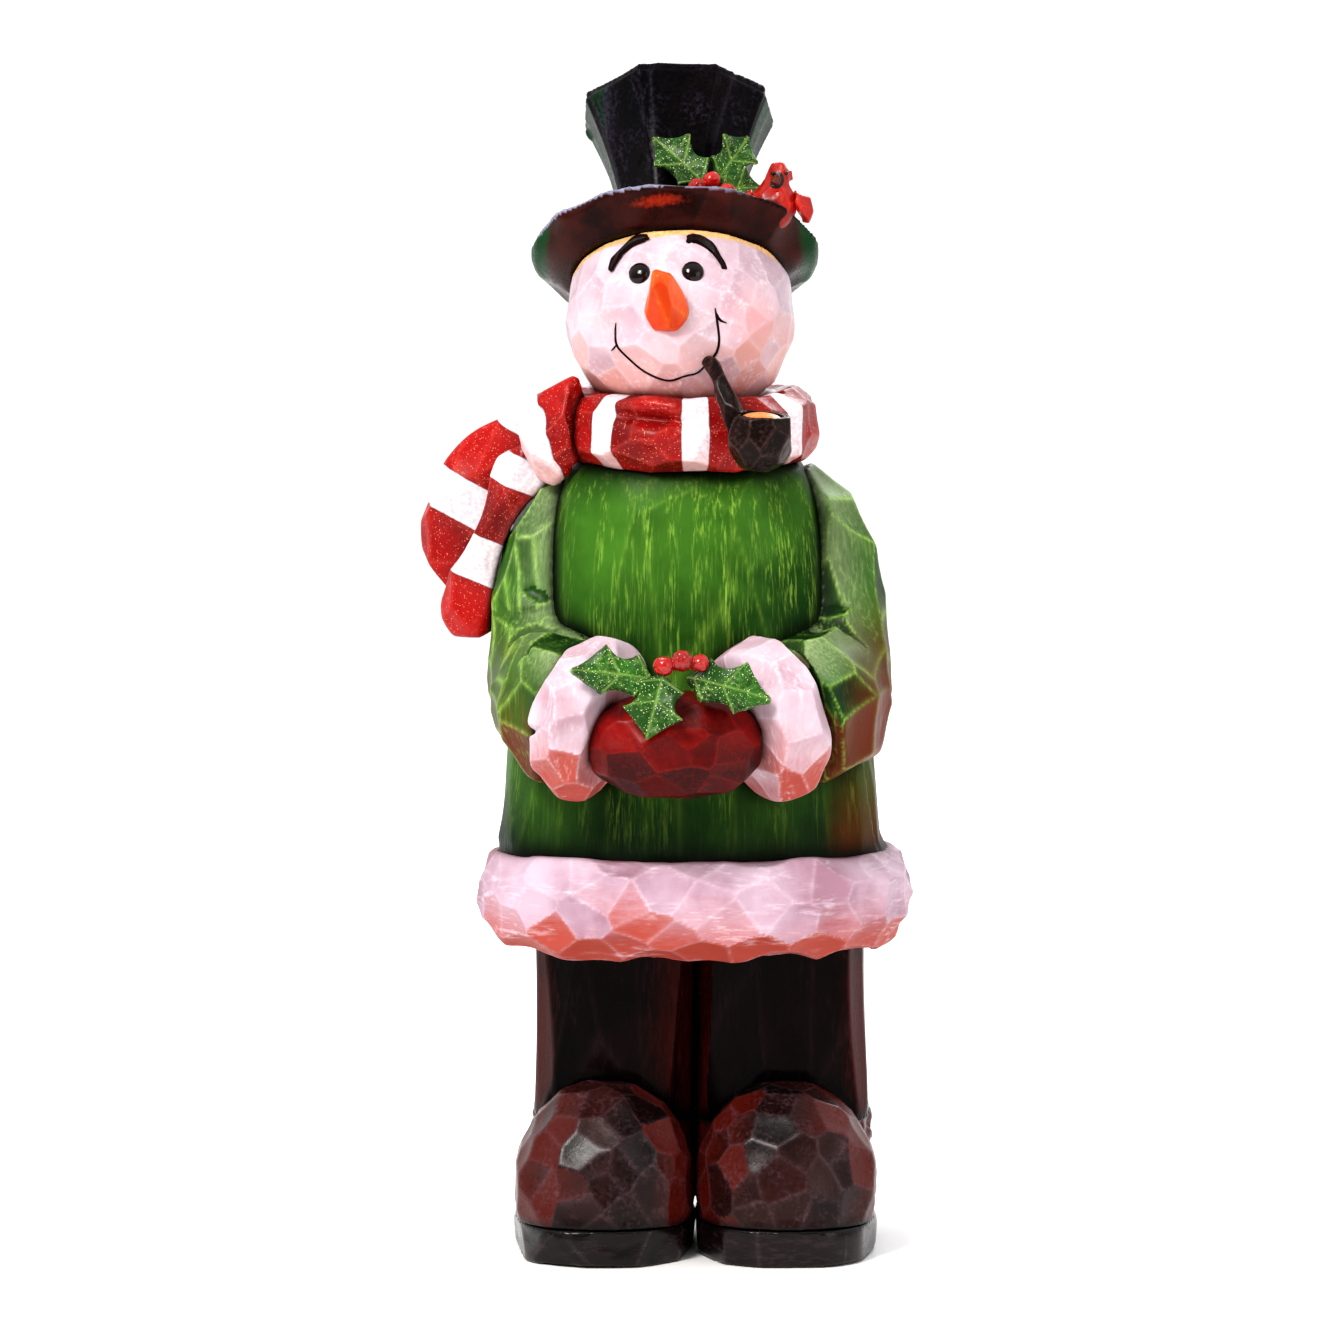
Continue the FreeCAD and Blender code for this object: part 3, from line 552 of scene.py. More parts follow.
def plain_materials():
    """Every painted finish by a short name."""
    # In these finishes the fourth colour is painted shade at the joints, below is painted shade on
    # the facets that face the floor and sides is a painted reflection on the facets that face left or
    # right.
    made = {}
    # hat: sides is a painted green reflection on the crown flats that face left or right
    made["hat"] = paint("hat_paint", colour(4, 3, 5), colour(14, 9, 12), colour(100, 92, 118),
                        colour(4, 2, 2), ridge=0.16, streaks=0.12, sides=colour(16, 52, 26),
                        side_span=(0.72, 0.95), rough=(0.2, 0.4), shine=0.08, coat=0.0,
                        extra=hat_colours)
    made["coat"] = paint("coat_paint", colour(18, 54, 10), colour(66, 112, 34),
                         colour(164, 204, 84), colour(4, 8, 4), below=colour(66, 46, 18),
                         below_span=(0.62, 1.0), grain=560.0, stretch=VERTICAL, ridge=0.2,
                         streaks=0.45, cells=0.3, patch_scale=9.0, shine=0.06, coat=0.0,
                         extra=coat_painted_light)
    made["sleeve"] = paint("sleeve_paint", colour(12, 42, 10), colour(52, 98, 30),
                           colour(160, 204, 96), colour(5, 10, 4), below=colour(92, 44, 16),
                           below_span=(0.5, 0.8), grain=420.0, stretch=VERTICAL, ridge=0.7,
                           streaks=0.3, cells=0.8, patch_scale=9.0, shine=0.1, coat=0.02,
                           extra=coat_painted_light)
    made["trim"] = paint("trim_paint", colour(158, 120, 136), colour(200, 176, 192),
                         colour(236, 224, 236), colour(84, 30, 18), below=colour(168, 74, 62),
                         below_span=(0.35, 0.95), stretch=SIDEWAYS, ridge=0.25, streaks=0.45,
                         cells=0.5, rough=(0.4, 0.6), shine=0.15, coat=0.0)
    made["cuff"] = paint("cuff_paint", colour(176, 140, 152), colour(212, 194, 206),
                         colour(240, 230, 238), colour(84, 30, 18), below=colour(172, 80, 70),
                         below_span=(0.5, 1.1), stretch=(1, 1, 0.2), ridge=0.4, streaks=0.45,
                         cells=0.4, rough=(0.4, 0.6), shine=0.15, coat=0.0)
    made["mitten"] = paint("mitten_paint", colour(70, 3, 2), colour(132, 8, 5),
                           colour(190, 50, 36), colour(12, 1, 1), below=colour(52, 4, 3),
                           below_span=(0.6, 0.95), ridge=0.12, streaks=0.15, cells=0.5,
                           shine=0.15, coat=0.04)
    made["leg"] = paint("leg_paint", colour(4, 2, 2), colour(16, 6, 5), colour(90, 60, 66),
                        colour(2, 1, 1), sides=colour(62, 12, 7), side_span=(0.45, 0.9),
                        stretch=(1, 1, 0.2), ridge=0.08, streaks=0.08, cells=0.6,
                        rough=(0.16, 0.3), shine=0.05, coat=0.0)
    made["boot"] = paint("boot_paint", colour(12, 4, 3), colour(44, 16, 13),
                         colour(140, 110, 122), colour(2, 1, 1), sides=colour(76, 18, 10),
                         side_span=(0.35, 0.8), ridge=0.14, streaks=0.12, cells=0.7,
                         rough=(0.26, 0.36), shine=0.2, coat=0.03)
    made["sole"] = paint("sole_paint", colour(8, 4, 4), colour(22, 11, 11), colour(96, 76, 82),
                         colour(2, 1, 1), stretch=(0.3, 0.3, 1), ridge=0.3, streaks=0.15,
                         cells=0.5, rough=(0.18, 0.3), shine=0.25, coat=0.03)
    made["head"] = paint("head_paint", colour(176, 148, 160), colour(214, 196, 206),
                         colour(242, 234, 242), colour(120, 66, 46), below=colour(204, 150, 144),
                         below_span=(0.5, 1.05), ridge=0.25, streaks=0.35, cells=0.5,
                         rough=(0.35, 0.5), shine=0.2, coat=0.03, extra=face_colours)
    made["nose"] = paint("nose_paint", colour(214, 62, 4), colour(240, 100, 8),
                         colour(255, 176, 62), colour(140, 36, 6), below=colour(206, 60, 4),
                         below_span=(0.55, 1.0), stretch=(1, 1, 0.3), ridge=0.15, streaks=0.3,
                         cells=0.2)
    made["gloss"] = paint("eye_gloss", colour(4, 2, 2), colour(22, 8, 5), colour(60, 30, 20),
                          colour(3, 2, 2), ridge=0.0, streaks=0.1, rough=(0.05, 0.09), coat=0.2)
    made["brow"] = paint("brow_paint", colour(8, 3, 4), colour(34, 9, 8), colour(96, 24, 22),
                         colour(6, 3, 3), ridge=0.1, streaks=0.2, shine=0.08, coat=0.0)
    made["pipe"] = paint("pipe_paint", colour(5, 3, 3), colour(22, 10, 8), colour(130, 96, 88),
                         colour(3, 2, 2), sides=colour(40, 18, 12), ridge=0.2, streaks=0.15,
                         rough=(0.2, 0.35), shine=0.12, coat=0.02)
    made["tobacco"] = paint("tobacco_paint", colour(196, 92, 40), colour(240, 156, 86),
                            colour(252, 212, 160), colour(120, 52, 26), ridge=0.5, streaks=0.5)
    made["holly"] = paint("holly_paint", colour(8, 36, 6), colour(40, 92, 22),
                          colour(150, 196, 96), colour(4, 16, 4), ridge=0.15, streaks=0.3,
                          cells=0.5, shine=0.2, coat=0.02, extra=holly_colours)
    made["berry"] = paint("berry_paint", colour(130, 8, 8), colour(196, 28, 20),
                          colour(240, 90, 70), colour(40, 4, 4), ridge=0.1, streaks=0.15,
                          rough=(0.15, 0.3), coat=0.7)
    made["bird"] = paint("bird_paint", colour(130, 8, 4), colour(206, 26, 12),
                         colour(248, 110, 72), colour(60, 6, 4), stretch=(1, 1, 0.3), ridge=0.2,
                         streaks=0.2, cells=0.5, shine=0.3, coat=0.1, extra=bird_mask)
    made["beak"] = paint("beak_paint", colour(90, 28, 10), colour(150, 58, 20),
                         colour(210, 120, 70), colour(40, 10, 6), ridge=0.2, streaks=0.2)
    made["scarf"] = paint("scarf_paint", colour(104, 4, 4), colour(168, 12, 8),
                          colour(222, 90, 76), colour(26, 2, 2), ridge=0.25, streaks=0.2,
                          cells=0.4, shine=0.2, coat=0.04, extra=scarf_stripes)
    made["wood"] = paint("bare_wood", colour(150, 104, 62), colour(186, 140, 92),
                         colour(214, 176, 130), colour(90, 56, 30), stretch=VERTICAL, ridge=0.1,
                         streaks=0.5, cells=0.2, rough=(0.5, 0.7), coat=0.0)
    made["steel"] = screw_steel()
    return made


def screw_steel():
    shader = Shader("screw_steel")
    scratch = shader.noise(400.0, 4.0, 0.6, (1, 1, 0.2))
    tarnish = shader.noise(60.0, 4.0)
    tint = shader.mix(shader.span(tarnish, 0.4, 0.65), colour(150, 148, 144), colour(92, 86, 80))
    shader.set(Base_Color=tint, Metallic=1.0, Roughness=shader.span(scratch, 0.3, 0.7, 0.28, 0.5),
               Normal=shader.bump(scratch, 0.05))
    return shader.material


MATERIALS = plain_materials()


# ------------------------------------------------------------------------- big blocks

def level(name, side):
    """Height in mm of the bottom (0) or top (1) of a CAD node."""
    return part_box(name)[side].z / MM


def make_coat():
    obj = block("coat_body", 2.4)
    points = get_points(obj)
    height = points[:, 2]
    near_hem = fade_out(np.maximum(height - level("hem_trim", 1), 0.0), 62.0)
    near_scarf = fade_out(np.maximum(level("scarf_wrap", 0) + 6.0 - height, 0.0), 16.0)
    # painted shade under the scarf, and the skirt darker towards the hem
    store(obj, "gloom", np.maximum(0.9 * near_hem, 0.9 * near_scarf))
    to_right = (points[:, 0] - middle("coat_body").x) / size("coat_body").x
    store(obj, "pale", np.zeros(len(points)))
    # painted warm reflection low on the coat's right side
    store(obj, "rust", 0.7 * np.clip((to_right - 0.32) / 0.06, 0.0, 1.0) * near_hem)
    near = ["left_sleeve", "right_sleeve", "left_cuff", "right_cuff", "clasped_mittens",
            "scarf_wrap", "hem_trim"]
    finish_piece(obj, "coat", "coat_paint", near, 10.0, 30, strength=0.35 + 0.65 * near_hem,
                 scoop=0.25, tilt=0.02, depth=0.2, factor=5.0, seed=11, fine=0.012)


def make_sleeves():
    for hand, seed in (("left", 21), ("right", 22)):
        obj = block(hand + "_sleeve", 2.0)
        points = get_points(obj)
        cuff_gap, _ = neighbour_gap(obj, [hand + "_cuff"])
        low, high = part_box(hand + "_sleeve")
        outward = np.abs(points[:, 0] - middle("coat_body").x) * MM * 2 / (CAD_HIGH - CAD_LOW).x
        height = (points[:, 2] * MM - low.z) / (high.z - low.z)
        outside = np.clip((outward - 0.58) / 0.18, 0.0, 1.0)
        amount = 1.0 if hand == "right" else 0.25
        above = np.clip((height - 0.3) / 0.15, 0.0, 1.0)
        # painted highlight on the sleeve just above the cuff
        store(obj, "pale", 0.8 * fade_out(cuff_gap, 34.0) * (1.0 - outside) * above)
        # painted warm reflection low on the outside of the sleeve
        store(obj, "rust", amount * outside * np.clip(1.6 - 2.6 * height, 0.0, 1.0))
        near = ["coat_body", hand + "_cuff", "scarf_wrap"]
        finish_piece(obj, "sleeve", "coat_paint", near, 5.0, 31, into=["coat_body"], scoop=0.8,
                     tilt=0.08, depth=0.5, factor=1.4, seed=seed, fine=0.025)


def make_trim():
    obj = block("hem_trim", 2.0)
    finish_piece(obj, "trim", "trim_paint", ["coat_body"], 4.0, 27, into=["coat_body"], tuck=2.0,
                 scoop=1.0, tilt=0.07, depth=0.5, seed=31, fine=0.02)
    for hand, seed in (("left", 32), ("right", 33)):
        obj = block(hand + "_cuff", 1.6)
        finish_piece(obj, "cuff", "trim_paint", [hand + "_sleeve", "clasped_mittens"], 3.5, 26,
                     into=["coat_body"], scoop=0.9, tilt=0.08, depth=0.5, seed=seed, fine=0.02)


def make_mittens():
    obj = block("clasped_mittens", 1.4)
    finish_piece(obj, "mitten", "mitten_paint", ["left_cuff", "right_cuff"], 6.0, 21,
                 into=["left_cuff", "right_cuff"], tuck=3.0, scoop=0.4, tilt=0.05, depth=0.2,
                 seed=41, fine=0.02)


def make_legs():
    """Legs, boots and soles; only the left foot is run into the other, to close the gap."""
    for hand, other, seed in (("left", "right", 51), ("right", "left", 52)):
        leg, boot, sole = hand + "_leg", hand + "_boot", hand + "_sole"
        meets_boot = [other + "_boot"] if hand == "left" else []
        meets_sole = [other + "_sole"] if hand == "left" else []
        finish_piece(block(leg, 2.2), "leg", "boot_paint", ["hem_trim", other + "_leg", boot], 8.0,
                     32, into=[boot], scoop=0.3, tilt=0.05, depth=0.3, factor=2.5, seed=seed,
                     fine=0.02)
        finish_piece(block(boot, 1.8), "boot", "boot_paint", [sole, leg, other + "_boot"], 4.0, 23,
                     into=meets_boot, tuck=1.5, scoop=0.4, tilt=0.08, depth=0.4, seed=seed + 10,
                     fine=0.02)
        finish_piece(block(sole, 1.9), "sole", "boot_paint", [boot, other + "_sole"], 3.0, 40,
                     into=meets_sole, tuck=1.5, scoop=0.2, tilt=0.02, depth=0.2, seed=seed + 20,
                     limit=0.05, fine=0.02)


# ----------------------------------------------------------------------- head and hat

HEAD_RADIUS = size("head").x / 2
HEAD_CENTRE = middle("head")
HEAD_CENTRE.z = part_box("head")[0].z / MM + HEAD_RADIUS * 0.964


def on_face(right, up):
    """Point on the front of the head ball, in shares of its radius from its centre."""
    forward = math.sqrt(max(0.0, 1.0 - right * right - up * up))
    return HEAD_CENTRE + Vector((right, -forward, up)) * HEAD_RADIUS


def near_spots(points, spots):
    """Sum of soft round spots: (centre, radius, amount)."""
    total = np.zeros(len(points))
    for centre, radius, amount in spots:
        gap = np.sum((points - np.asarray(centre)) ** 2, axis=1)
        total += amount * np.exp(-gap / (radius * radius))
    return total


def make_head():
    """Ball with full cheeks, a raised muzzle and grooves at the ends of the smile."""
    obj = block("head", 1.4)
    swell(obj, [
        (on_face(-0.11, -0.22), 30.0, 5.0),
        (on_face(-0.78, -0.16), 30.0, 4.5),
        (on_face(0.66, -0.12), 32.0, 5.0),
        (on_face(-0.10, -0.74), 26.0, 2.0),
    ])
    points = get_points(obj)
    brow_line = on_face(-0.1, 0.25).z
    amount = 0.35 + 0.65 / (1.0 + np.exp((points[:, 2] - brow_line) / 6.0))
    rosy = near_spots(points, [
        (on_face(-0.68, -0.04), 15.0, 0.3),
        (on_face(0.62, -0.02), 18.0, 0.45),
        (on_face(-0.1, -0.12), 14.0, 0.2),
        (on_face(-0.45, -0.78), 22.0, 0.4),
        (on_face(0.3, -0.80), 24.0, 0.4),
    ])
    store(obj, "rosy", np.clip(rosy, 0.0, 0.8))
    brim_gap, _ = neighbour_gap(obj, ["hat_brim"])
    store(obj, "band", fade_out(brim_gap, 7.0))
    finish_piece(obj, "head", "head_paint", ["scarf_wrap"], 5.0, 23, strength=amount, scoop=0.5,
                 tilt=0.07, depth=0.4, seed=61, fine=0.02)
    swell(obj, [
        (on_face(-0.58, -0.08), 8.0, -2.5),
        (on_face(-0.48, -0.32), 7.0, -1.5),
        (on_face(0.33, -0.08), 8.0, -2.5),
        (on_face(0.33, 0.06), 6.0, -1.5),
        (on_face(0.28, -0.36), 7.0, -1.5),
    ])
    make_mouth(obj)


def smooth_path(corners, step):
    """Catmull-Rom curve through corners, sampled about every step mm."""
    ends = [corners[0] * 2 - corners[1]] + corners + [corners[-1] * 2 - corners[-2]]
    path = []
    for a, b, c, d in zip(ends, ends[1:], ends[2:], ends[3:]):
        count = max(2, int((c - b).length / step))
        for index in range(count):
            t = index / count
            path.append(0.5 * ((2 * b) + (c - a) * t + (2 * a - 5 * b + 4 * c - d) * t * t
                               + (3 * b - a - 3 * c + d) * t * t * t))
    path.append(corners[-1])
    return path


def make_mouth(head):
    """Thin painted line of the smile, with a short tick at each end, laid on the carved face."""
    tree = BVHTree.FromPolygons(get_points(head).tolist(),
                                [list(face.vertices) for face in head.data.polygons])
    strokes = [
        [(-0.56, -0.06), (-0.565, -0.15), (-0.55, -0.26), (-0.45, -0.37), (-0.30, -0.49),
         (-0.11, -0.56), (0.04, -0.52), (0.15, -0.49), (0.24, -0.40), (0.31, -0.32),
         (0.335, -0.21), (0.32, -0.06), (0.30, 0.07)],
        [(-0.55, -0.24), (-0.57, -0.27), (-0.60, -0.30)],
        [(0.30, 0.05), (0.34, -0.03), (0.40, -0.06)],
    ]
    points = []
    faces = []
    sides = 8
    for stroke in strokes:
        path = smooth_path([on_face(right, up) for right, up in stroke], 1.5)
        for index, place in enumerate(path):
            start = Vector((place.x, place.y - 30.0, place.z))
            hit, normal, _, _ = tree.ray_cast(start, Vector((0, 1, 0)))
            ahead = path[min(index + 1, len(path) - 1)] - path[max(index - 1, 0)]
            side = ahead.cross(normal).normalized()
            taper = min(1.0, 0.35 + 0.2 * min(index, len(path) - 1 - index))
            for corner in range(sides):
                angle = 2 * math.pi * corner / sides
                points.append(hit + side * (0.95 * taper * math.cos(angle))
                              + normal * (0.2 + 0.5 * math.sin(angle)))
            if index:
                base = len(points) - 2 * sides
                for corner in range(sides):
                    after = (corner + 1) % sides
                    faces.append((base + corner, base + after, base + sides + after,
                                  base + sides + corner))
            if index in (0, len(path) - 1):
                base = len(points) - sides
                faces.append(tuple(range(base, base + sides)))
    obj = new_object("mouth_line", points, faces)
    dress(obj, "brow")


HAT_AXIS = Vector((0, math.sin(math.radians(28.0)), math.cos(math.radians(28.0))))


def hat_coordinates(points):
    """Radius from the hat's axis, height along it and angle from the front, for each point."""
    centre = np.array(middle("hat_brim"))
    offset = points - centre
    axis = np.array(HAT_AXIS)
    up = offset @ axis
    flat = offset - up[:, None] * axis
    front = np.array([0.0, -HAT_AXIS.z, HAT_AXIS.y])
    return np.linalg.norm(flat, axis=1), up, np.arctan2(flat[:, 0], flat @ front)


def cut_flats(obj, count, seed):
    """Cut the round crown to an uneven many-sided one."""
    rng = np.random.default_rng(seed)
    points = get_points(obj)
    _, up, turn = hat_coordinates(points)
    spacing = 2 * math.pi / count
    facing = (np.arange(count) + rng.uniform(-0.2, 0.2, count)) * spacing
    depth = rng.uniform(0.95, 0.985, count)
    away = np.angle(np.exp(1j * (turn[:, None] - facing[None, :])))
    reach = np.where(np.abs(away) < 1.2, depth / np.maximum(np.cos(away), 0.3), 2.0)
    axis_points = np.array(middle("hat_brim")) + up[:, None] * np.array(HAT_AXIS)
    set_points(obj, axis_points + (points - axis_points) * reach.min(axis=1)[:, None])


def make_hat():
    obj = block("hat_crown", 1.8)
    cut_flats(obj, 9, 5)
    for name in ("lining", "glow", "tip", "edge"):
        store(obj, name, np.zeros(len(obj.data.vertices)))
    finish_piece(obj, "hat", "hat_paint", ["hat_brim"], 5.0, 38, into=["hat_brim"], tuck=2.0,
                 strength=0.5, scoop=0.5, tilt=0.03, depth=0.2, axis=HAT_AXIS, factor=1.5, seed=71,
                 fine=0.02)
    obj = block("hat_brim", 1.6)
    points = get_points(obj)
    radius, up, turn = hat_coordinates(points)
    reach = radius / radius.max()
    side = 0.5 - 0.5 * np.cos(turn)
    outer = np.clip((reach - 0.72) / 0.28, 0.0, 1.0) ** 2
    below = np.clip(0.5 - up / 4.0, 0.0, 1.0)
    drop = 5.0 * outer * side * below
    set_points(obj, points - drop[:, None] * np.array(HAT_AXIS))
    faces_down = get_normals(obj) @ np.array(HAT_AXIS) < -0.25
    store(obj, "lining", faces_down * np.clip((reach - 0.62) / 0.12, 0.0, 1.0))
    # painted orange-red reflection under the front of the brim
    glow = np.exp(-((turn + 0.12) / 0.28) ** 2 - ((reach - 0.93) / 0.06) ** 2)
    store(obj, "glow", faces_down * glow)
    # painted green reflection on the brim's ends
    store(obj, "tip", np.clip((np.abs(np.sin(turn)) * reach - 0.86) / 0.05, 0.0, 1.0))
    # painted highlight along the front left edge of the brim
    front_left = np.clip(np.cos(turn + 0.5) * 3.0 - 1.4, 0.0, 1.0)
    store(obj, "edge", ~faces_down * np.clip((reach - 0.93) / 0.04, 0.0, 1.0) * front_left)
    finish_piece(obj, "hat", "hat_paint", ["head", "hat_crown"], 4.0, 30, scoop=0.6, tilt=0.06,
                 depth=0.4, seed=72, limit=0.1, fine=0.02)


def make_small(name, voxel, cell, material, slot, near=(), seed=80, **more):
    obj = block(name, voxel)
    return finish_piece(obj, material, slot, list(near), 3.0, cell, into=near, tuck=1.0,
                        seed=seed, **more)


def make_face():
    make_small("nose", 0.9, 20, "nose", "nose_paint", ["head"], 81, scoop=0.2, tilt=0.04,
               limit=0.06)
    for hand in ("left", "right"):
        make_small(hand + "_eye", 0.4, 12, "gloss", "gloss_black", ["head"], 82, scoop=0.0,
                   tilt=0.0, depth=0.0, limit=0.01)
        make_small(hand + "_brow", 0.5, 9, "brow", "brow_paint", [], 83, scoop=0.2)


def make_pipe():
    make_small("pipe_stem", 0.7, 12, "pipe", "pipe_paint", ["head"], 84, scoop=0.3)
    make_small("pipe_bowl", 0.9, 18, "pipe", "pipe_paint", ["pipe_stem"], 85, scoop=0.3,
               limit=0.08)
    tobacco = block("pipe_tobacco", 0.7)
    swell(tobacco, [(middle("pipe_tobacco"), 16.0, 3.0)])
    finish_piece(tobacco, "tobacco", "tobacco_paint", ["pipe_bowl"], 2.0, 7, scoop=1.5, seed=86)


WRAP_STRIPES = (-93, -42, 3, 55, 105, 155, 205)
WRAP_STRIPE_HALF = 6.2
TAIL_STRIPES = {
    "scarf_tail_front": ((0.06, 0.22), (0.50, 0.72)),
    "scarf_tail_back": ((-0.1, 0.12), (0.46, 0.68)),
}


def stripe_value(inside):
    """Stripe attribute from the distance in mm inside a white stripe's edge."""
    return np.clip(0.5 + inside / 8.0, 0.0, 1.0)


def wrap_stripes(points):
    """Distance in mm inside the white stripes round the collar."""
    centre = middle("scarf_wrap")
    across = points[:, 0] - centre.x
    forward = centre.y - points[:, 1]
    turn = np.degrees(np.arctan2(across, forward))
    radius = np.hypot(across, forward)
    inside = np.full(len(points), -50.0)
    for place in WRAP_STRIPES:
        gap = np.abs((turn - place + 180.0) % 360.0 - 180.0)
        inside = np.maximum(inside, np.radians(WRAP_STRIPE_HALF - gap) * radius)
    return inside


def tail_stripes(name, points):
    """Distance in mm inside the white stripes across a hanging tail."""
    centre = points.mean(axis=0)
    _, _, axes = np.linalg.svd((points - centre)[::9], full_matrices=False)
    along = axes[0] if axes[0][2] < 0 else -axes[0]
    run = (points - centre) @ along
    length = run.max() - run.min()
    run = (run - run.min()) / length
    inside = np.full(len(points), -50.0)
    for start, end in TAIL_STRIPES[name]:
        inside = np.maximum(inside, np.minimum(run - start, end - run) * length)
    return inside


def knot_stripe(points):
    """Distance in mm inside the white outer loop of the knot."""
    low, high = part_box("scarf_knot")
    width = (high.x - low.x) / MM
    across = (points[:, 0] - low.x / MM) / width
    up = (points[:, 2] - low.z / MM) / size("scarf_knot").z
    return (0.68 - 0.47 * up - across) * width


def make_scarf():
    names = ["scarf_wrap", "scarf_knot", "scarf_tail_front", "scarf_tail_back"]
    for index, name in enumerate(names):
        obj = block(name, 1.6 if name == "scarf_wrap" else 1.2)
        points = get_points(obj)
        if name == "scarf_wrap":
            inside = wrap_stripes(points)
        elif name == "scarf_knot":
            inside = knot_stripe(points)
        else:
            inside = tail_stripes(name, points)
        store(obj, "stripe", stripe_value(inside))
        others = [other for other in names if other != name]
        finish_piece(obj, "scarf", "scarf_paint", others + ["head", "coat_body", "left_sleeve"],
                     4.0, 26, into=others[:index], tuck=2.0, scoop=0.5, tilt=0.05, depth=0.3,
                     seed=90 + index, fine=0.02)
        if name == "scarf_wrap":
            fold_scarf(obj)


def fold_scarf(obj):
    """A level groove between two padded folds at the front left, and shallow pleats."""
    points = get_points(obj)
    centre = middle("scarf_wrap")
    turn = np.arctan2(points[:, 0] - centre.x, centre.y - points[:, 1])
    height = (points[:, 2] - centre.z) / (size("scarf_wrap").z / 2)
    normals = unit(averaged(get_normals(obj), get_edges(obj), 8))
    window = np.exp(-((turn + 0.28) / 0.36) ** 2)
    dip = 0.22 - 0.25 * (turn + 0.28)
    groove = -9.0 * window * np.exp(-((height - dip) / 0.15) ** 2)
    upper = np.exp(-((height - dip - 0.35) / 0.22) ** 2)
    lower = np.exp(-((height - dip + 0.35) / 0.3) ** 2)
    pleats = 1.2 * np.sin(turn * 14.0) * np.clip(1.0 - np.abs(height), 0, 1)
    set_points(obj, points + normals * (groove + 3.0 * window * (upper + lower) + pleats)[:, None])


def make_leaf(name, berries, seed):
    """Leaf plate folded along its midrib, with raised veins that run out to the spikes."""
    obj = block(name, 0.6, smooth=1)
    points = get_points(obj)
    centre = points.mean(axis=0)
    spread = points - centre
    _, _, axes = np.linalg.svd(spread[::7], full_matrices=False)
    along = axes[0]
    if (np.array(middle(berries)) - centre) @ along > 0:
        along = -along
    outward = axes[2] if axes[2][1] < 0 else -axes[2]
    across = np.cross(outward, along)
    length = spread @ along
    length = (length - length.min()) / (length.max() - length.min())
    width = spread @ across
    half = np.abs(width).max()
    width = width / half
    span_mm = size(name).length
    lift = 4.2 * np.abs(width) - 2.4 * (2 * length - 1) ** 2
    lift += 2.2 * np.sin(length * math.pi * 4.2) * np.abs(width)
    vein = np.exp(-(width * half / 0.9) ** 2)
    for start, end_along, end_across in ((0.08, 0.24, 0.85), (0.42, 0.62, 1.0)):
        run = np.clip(np.abs(width) / end_across, 0.0, 1.0)
        line = start + (end_along - start) * run
        vein = np.maximum(vein, np.exp(-((length - line) * span_mm / 1.0) ** 2))
    front = np.clip((spread @ outward) / 2.0, 0.0, 1.0)
    set_points(obj, points + outward * (lift - 1.1 * vein * front)[:, None])
    store(obj, "vein", vein * 0.4)
    finish_piece(obj, "holly", "holly_paint", [berries], 2.5, 8, scoop=0.8, tilt=0.08, depth=0.15,
                 seed=seed, limit=0.06)


def make_trimmings():
    beak = np.array(middle("bird_beak"))
    for name in ("bird_body", "bird_left_wing", "bird_right_wing", "bird_tail"):
        obj = make_small(name, 0.7, 9, "bird", "bird_paint", ["hat_brim"], 100, scoop=0.6)
        gap = np.linalg.norm(get_points(obj) - beak, axis=1)
        store(obj, "mask", np.clip(1.0 - (gap - 5.0) / 4.0, 0.0, 1.0))
    make_small("bird_beak", 0.4, 4, "beak", "beak_paint", [], 101)
    make_small("bird_eyes", 0.3, 4, "gloss", "gloss_black", [], 102, scoop=0.0, tilt=0.0,
               depth=0.0, limit=0.01)
    for name in ("hat_berries", "hand_berries"):
        make_small(name, 0.6, 8, "berry", "berry_paint", [], 103, scoop=0.1, limit=0.05)
    for index, name in enumerate(("hat_holly_leaf_left", "hat_holly_leaf_right",
                                  "hat_holly_leaf_low")):
        make_leaf(name, "hat_berries", 110 + index)
    for index, name in enumerate(("hand_holly_leaf_left", "hand_holly_leaf_centre",
                                  "hand_holly_leaf_right")):
        make_leaf(name, "hand_berries", 120 + index)


def finish_hidden():
    """Dowels, pegs and screws keep their CAD shape."""
    for name in ("neck_dowel", "hat_dowel", "nose_peg", "pipe_pin", "arm_dowels", "leg_dowels"):
        NODES[name].data.materials.clear()
        NODES[name].data.materials.append(MATERIALS["wood"])
    NODES["sole_screws"].data.materials.clear()
    NODES["sole_screws"].data.materials.append(MATERIALS["steel"])


# ------------------------------------------------------------------ floor, light, camera

def make_floor():
    extent = 6.0
    mesh = bpy.data.meshes.new("floor")
    corners = [(-extent, -extent, 0), (extent, -extent, 0), (extent, extent, 0), (-extent, extent, 0)]
    mesh.from_pydata(corners, [], [(0, 1, 2, 3)])
    floor = bpy.data.objects.new("floor", mesh)
    bpy.context.scene.collection.objects.link(floor)
    # far runs from 0 at the front edge to 1 at the back, for the floor's painted glow
    store(floor, "far", [0, 0, 1, 1])
    shader = Shader("floor_paint")
    mottle = shader.noise(3.0, 3.0)
    # the far part of the floor glows: painted light that blends it into the backdrop
    shader.set(Base_Color=shader.mix(mottle, colour(240, 240, 240), colour(250, 250, 250)),
               Roughness=0.8, Emission_Color=(1.0, 1.0, 1.0, 1.0),
               Emission_Strength=shader.span(shader.attribute("far"), 0.52, 0.7, 0.0, 0.4))
    mesh.materials.append(shader.material)


def aim(obj, target):
    direction = Vector(target) - obj.location
    obj.rotation_euler = direction.to_track_quat("-Z", "Y").to_euler()


def area_light(name, place, target, width, power, tint):
    data = bpy.data.lights.new(name, "AREA")
    data.size = width
    data.energy = power
    data.color = tint
    light = bpy.data.objects.new(name, data)
    bpy.context.scene.collection.objects.link(light)
    light.location = place
    aim(light, target)


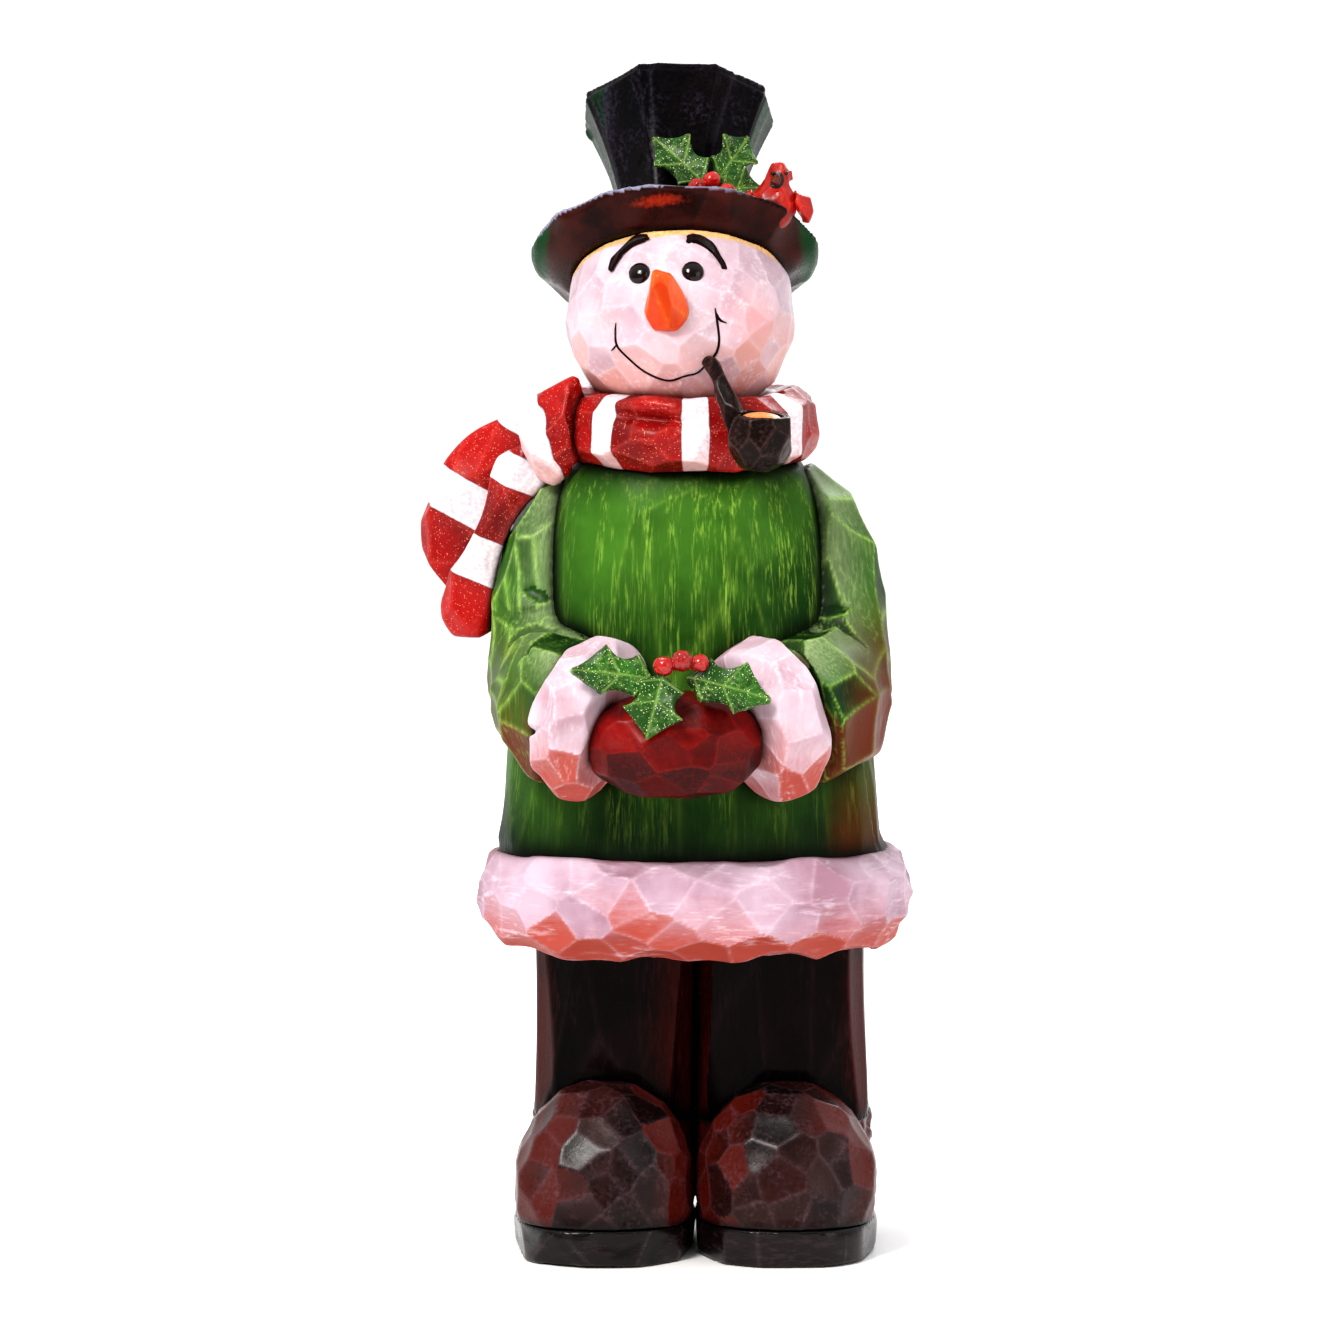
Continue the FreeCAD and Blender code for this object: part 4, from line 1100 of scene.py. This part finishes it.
def studio_world():
    """Soft surround, pale above and behind and darker in front so that blacks stay black."""
    world = bpy.data.worlds.new("studio")
    world.use_nodes = True
    tree = world.node_tree
    direction = tree.nodes.new("ShaderNodeTexCoord")
    parts = tree.nodes.new("ShaderNodeSeparateXYZ")
    ramp = tree.nodes.new("ShaderNodeMapRange")
    ramp.interpolation_type = "SMOOTHSTEP"
    tree.links.new(direction.outputs["Generated"], parts.inputs[0])
    total = tree.nodes.new("ShaderNodeMath")
    tree.links.new(parts.outputs["Y"], total.inputs[0])
    tree.links.new(parts.outputs["Z"], total.inputs[1])
    tree.links.new(total.outputs[0], ramp.inputs["Value"])
    for name, value in (("From Min", -0.5), ("From Max", 0.6), ("To Min", 0.3), ("To Max", 0.95)):
        ramp.inputs[name].default_value = value
    background = tree.nodes["Background"]
    background.inputs["Color"].default_value = (1.0, 1.0, 1.0, 1.0)
    tree.links.new(ramp.outputs[0], background.inputs["Strength"])
    return world


def make_lights():
    low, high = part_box("coat_body")
    target = (low + high) * 0.5
    area_light("key", (-1.3, -2.4, 2.6), target, 0.9, 110.0, (1.0, 0.97, 0.93))
    area_light("fill", (2.4, -2.2, 1.2), target, 1.8, 22.0, (1.0, 0.93, 0.88))
    area_light("back", (0.6, 2.4, 2.2), target, 1.6, 40.0, (0.95, 0.97, 1.0))
    bpy.context.scene.world = studio_world()
    bpy.context.scene.view_settings.view_transform = "Standard"
    bpy.context.scene.view_settings.look = "Medium High Contrast"


def make_camera():
    """A long lens a little below the height of the eyes."""
    head_height = middle("head").z * MM
    feet = (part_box("left_sole")[1].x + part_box("right_sole")[0].x) / 2
    coat_low, coat_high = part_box("coat_body")
    distance = 5.95 * head_height
    aim_x = feet - 0.0176
    aim_y = (coat_low.y + coat_high.y) / 2
    camera_data = bpy.data.cameras.new("camera")
    camera = bpy.data.objects.new("camera", camera_data)
    bpy.context.scene.collection.objects.link(camera)
    camera.location = (aim_x, aim_y - distance, 1.09 * head_height)
    aim(camera, (aim_x, aim_y, 0.6235 * head_height))
    camera_data.lens = 146.5
    camera_data.sensor_width = 36.0
    bpy.context.scene.camera = camera


make_coat()
make_sleeves()
make_trim()
make_mittens()
make_legs()
make_head()
make_hat()
make_face()
make_pipe()
make_scarf()
make_trimmings()
finish_hidden()
make_floor()
make_lights()
make_camera()
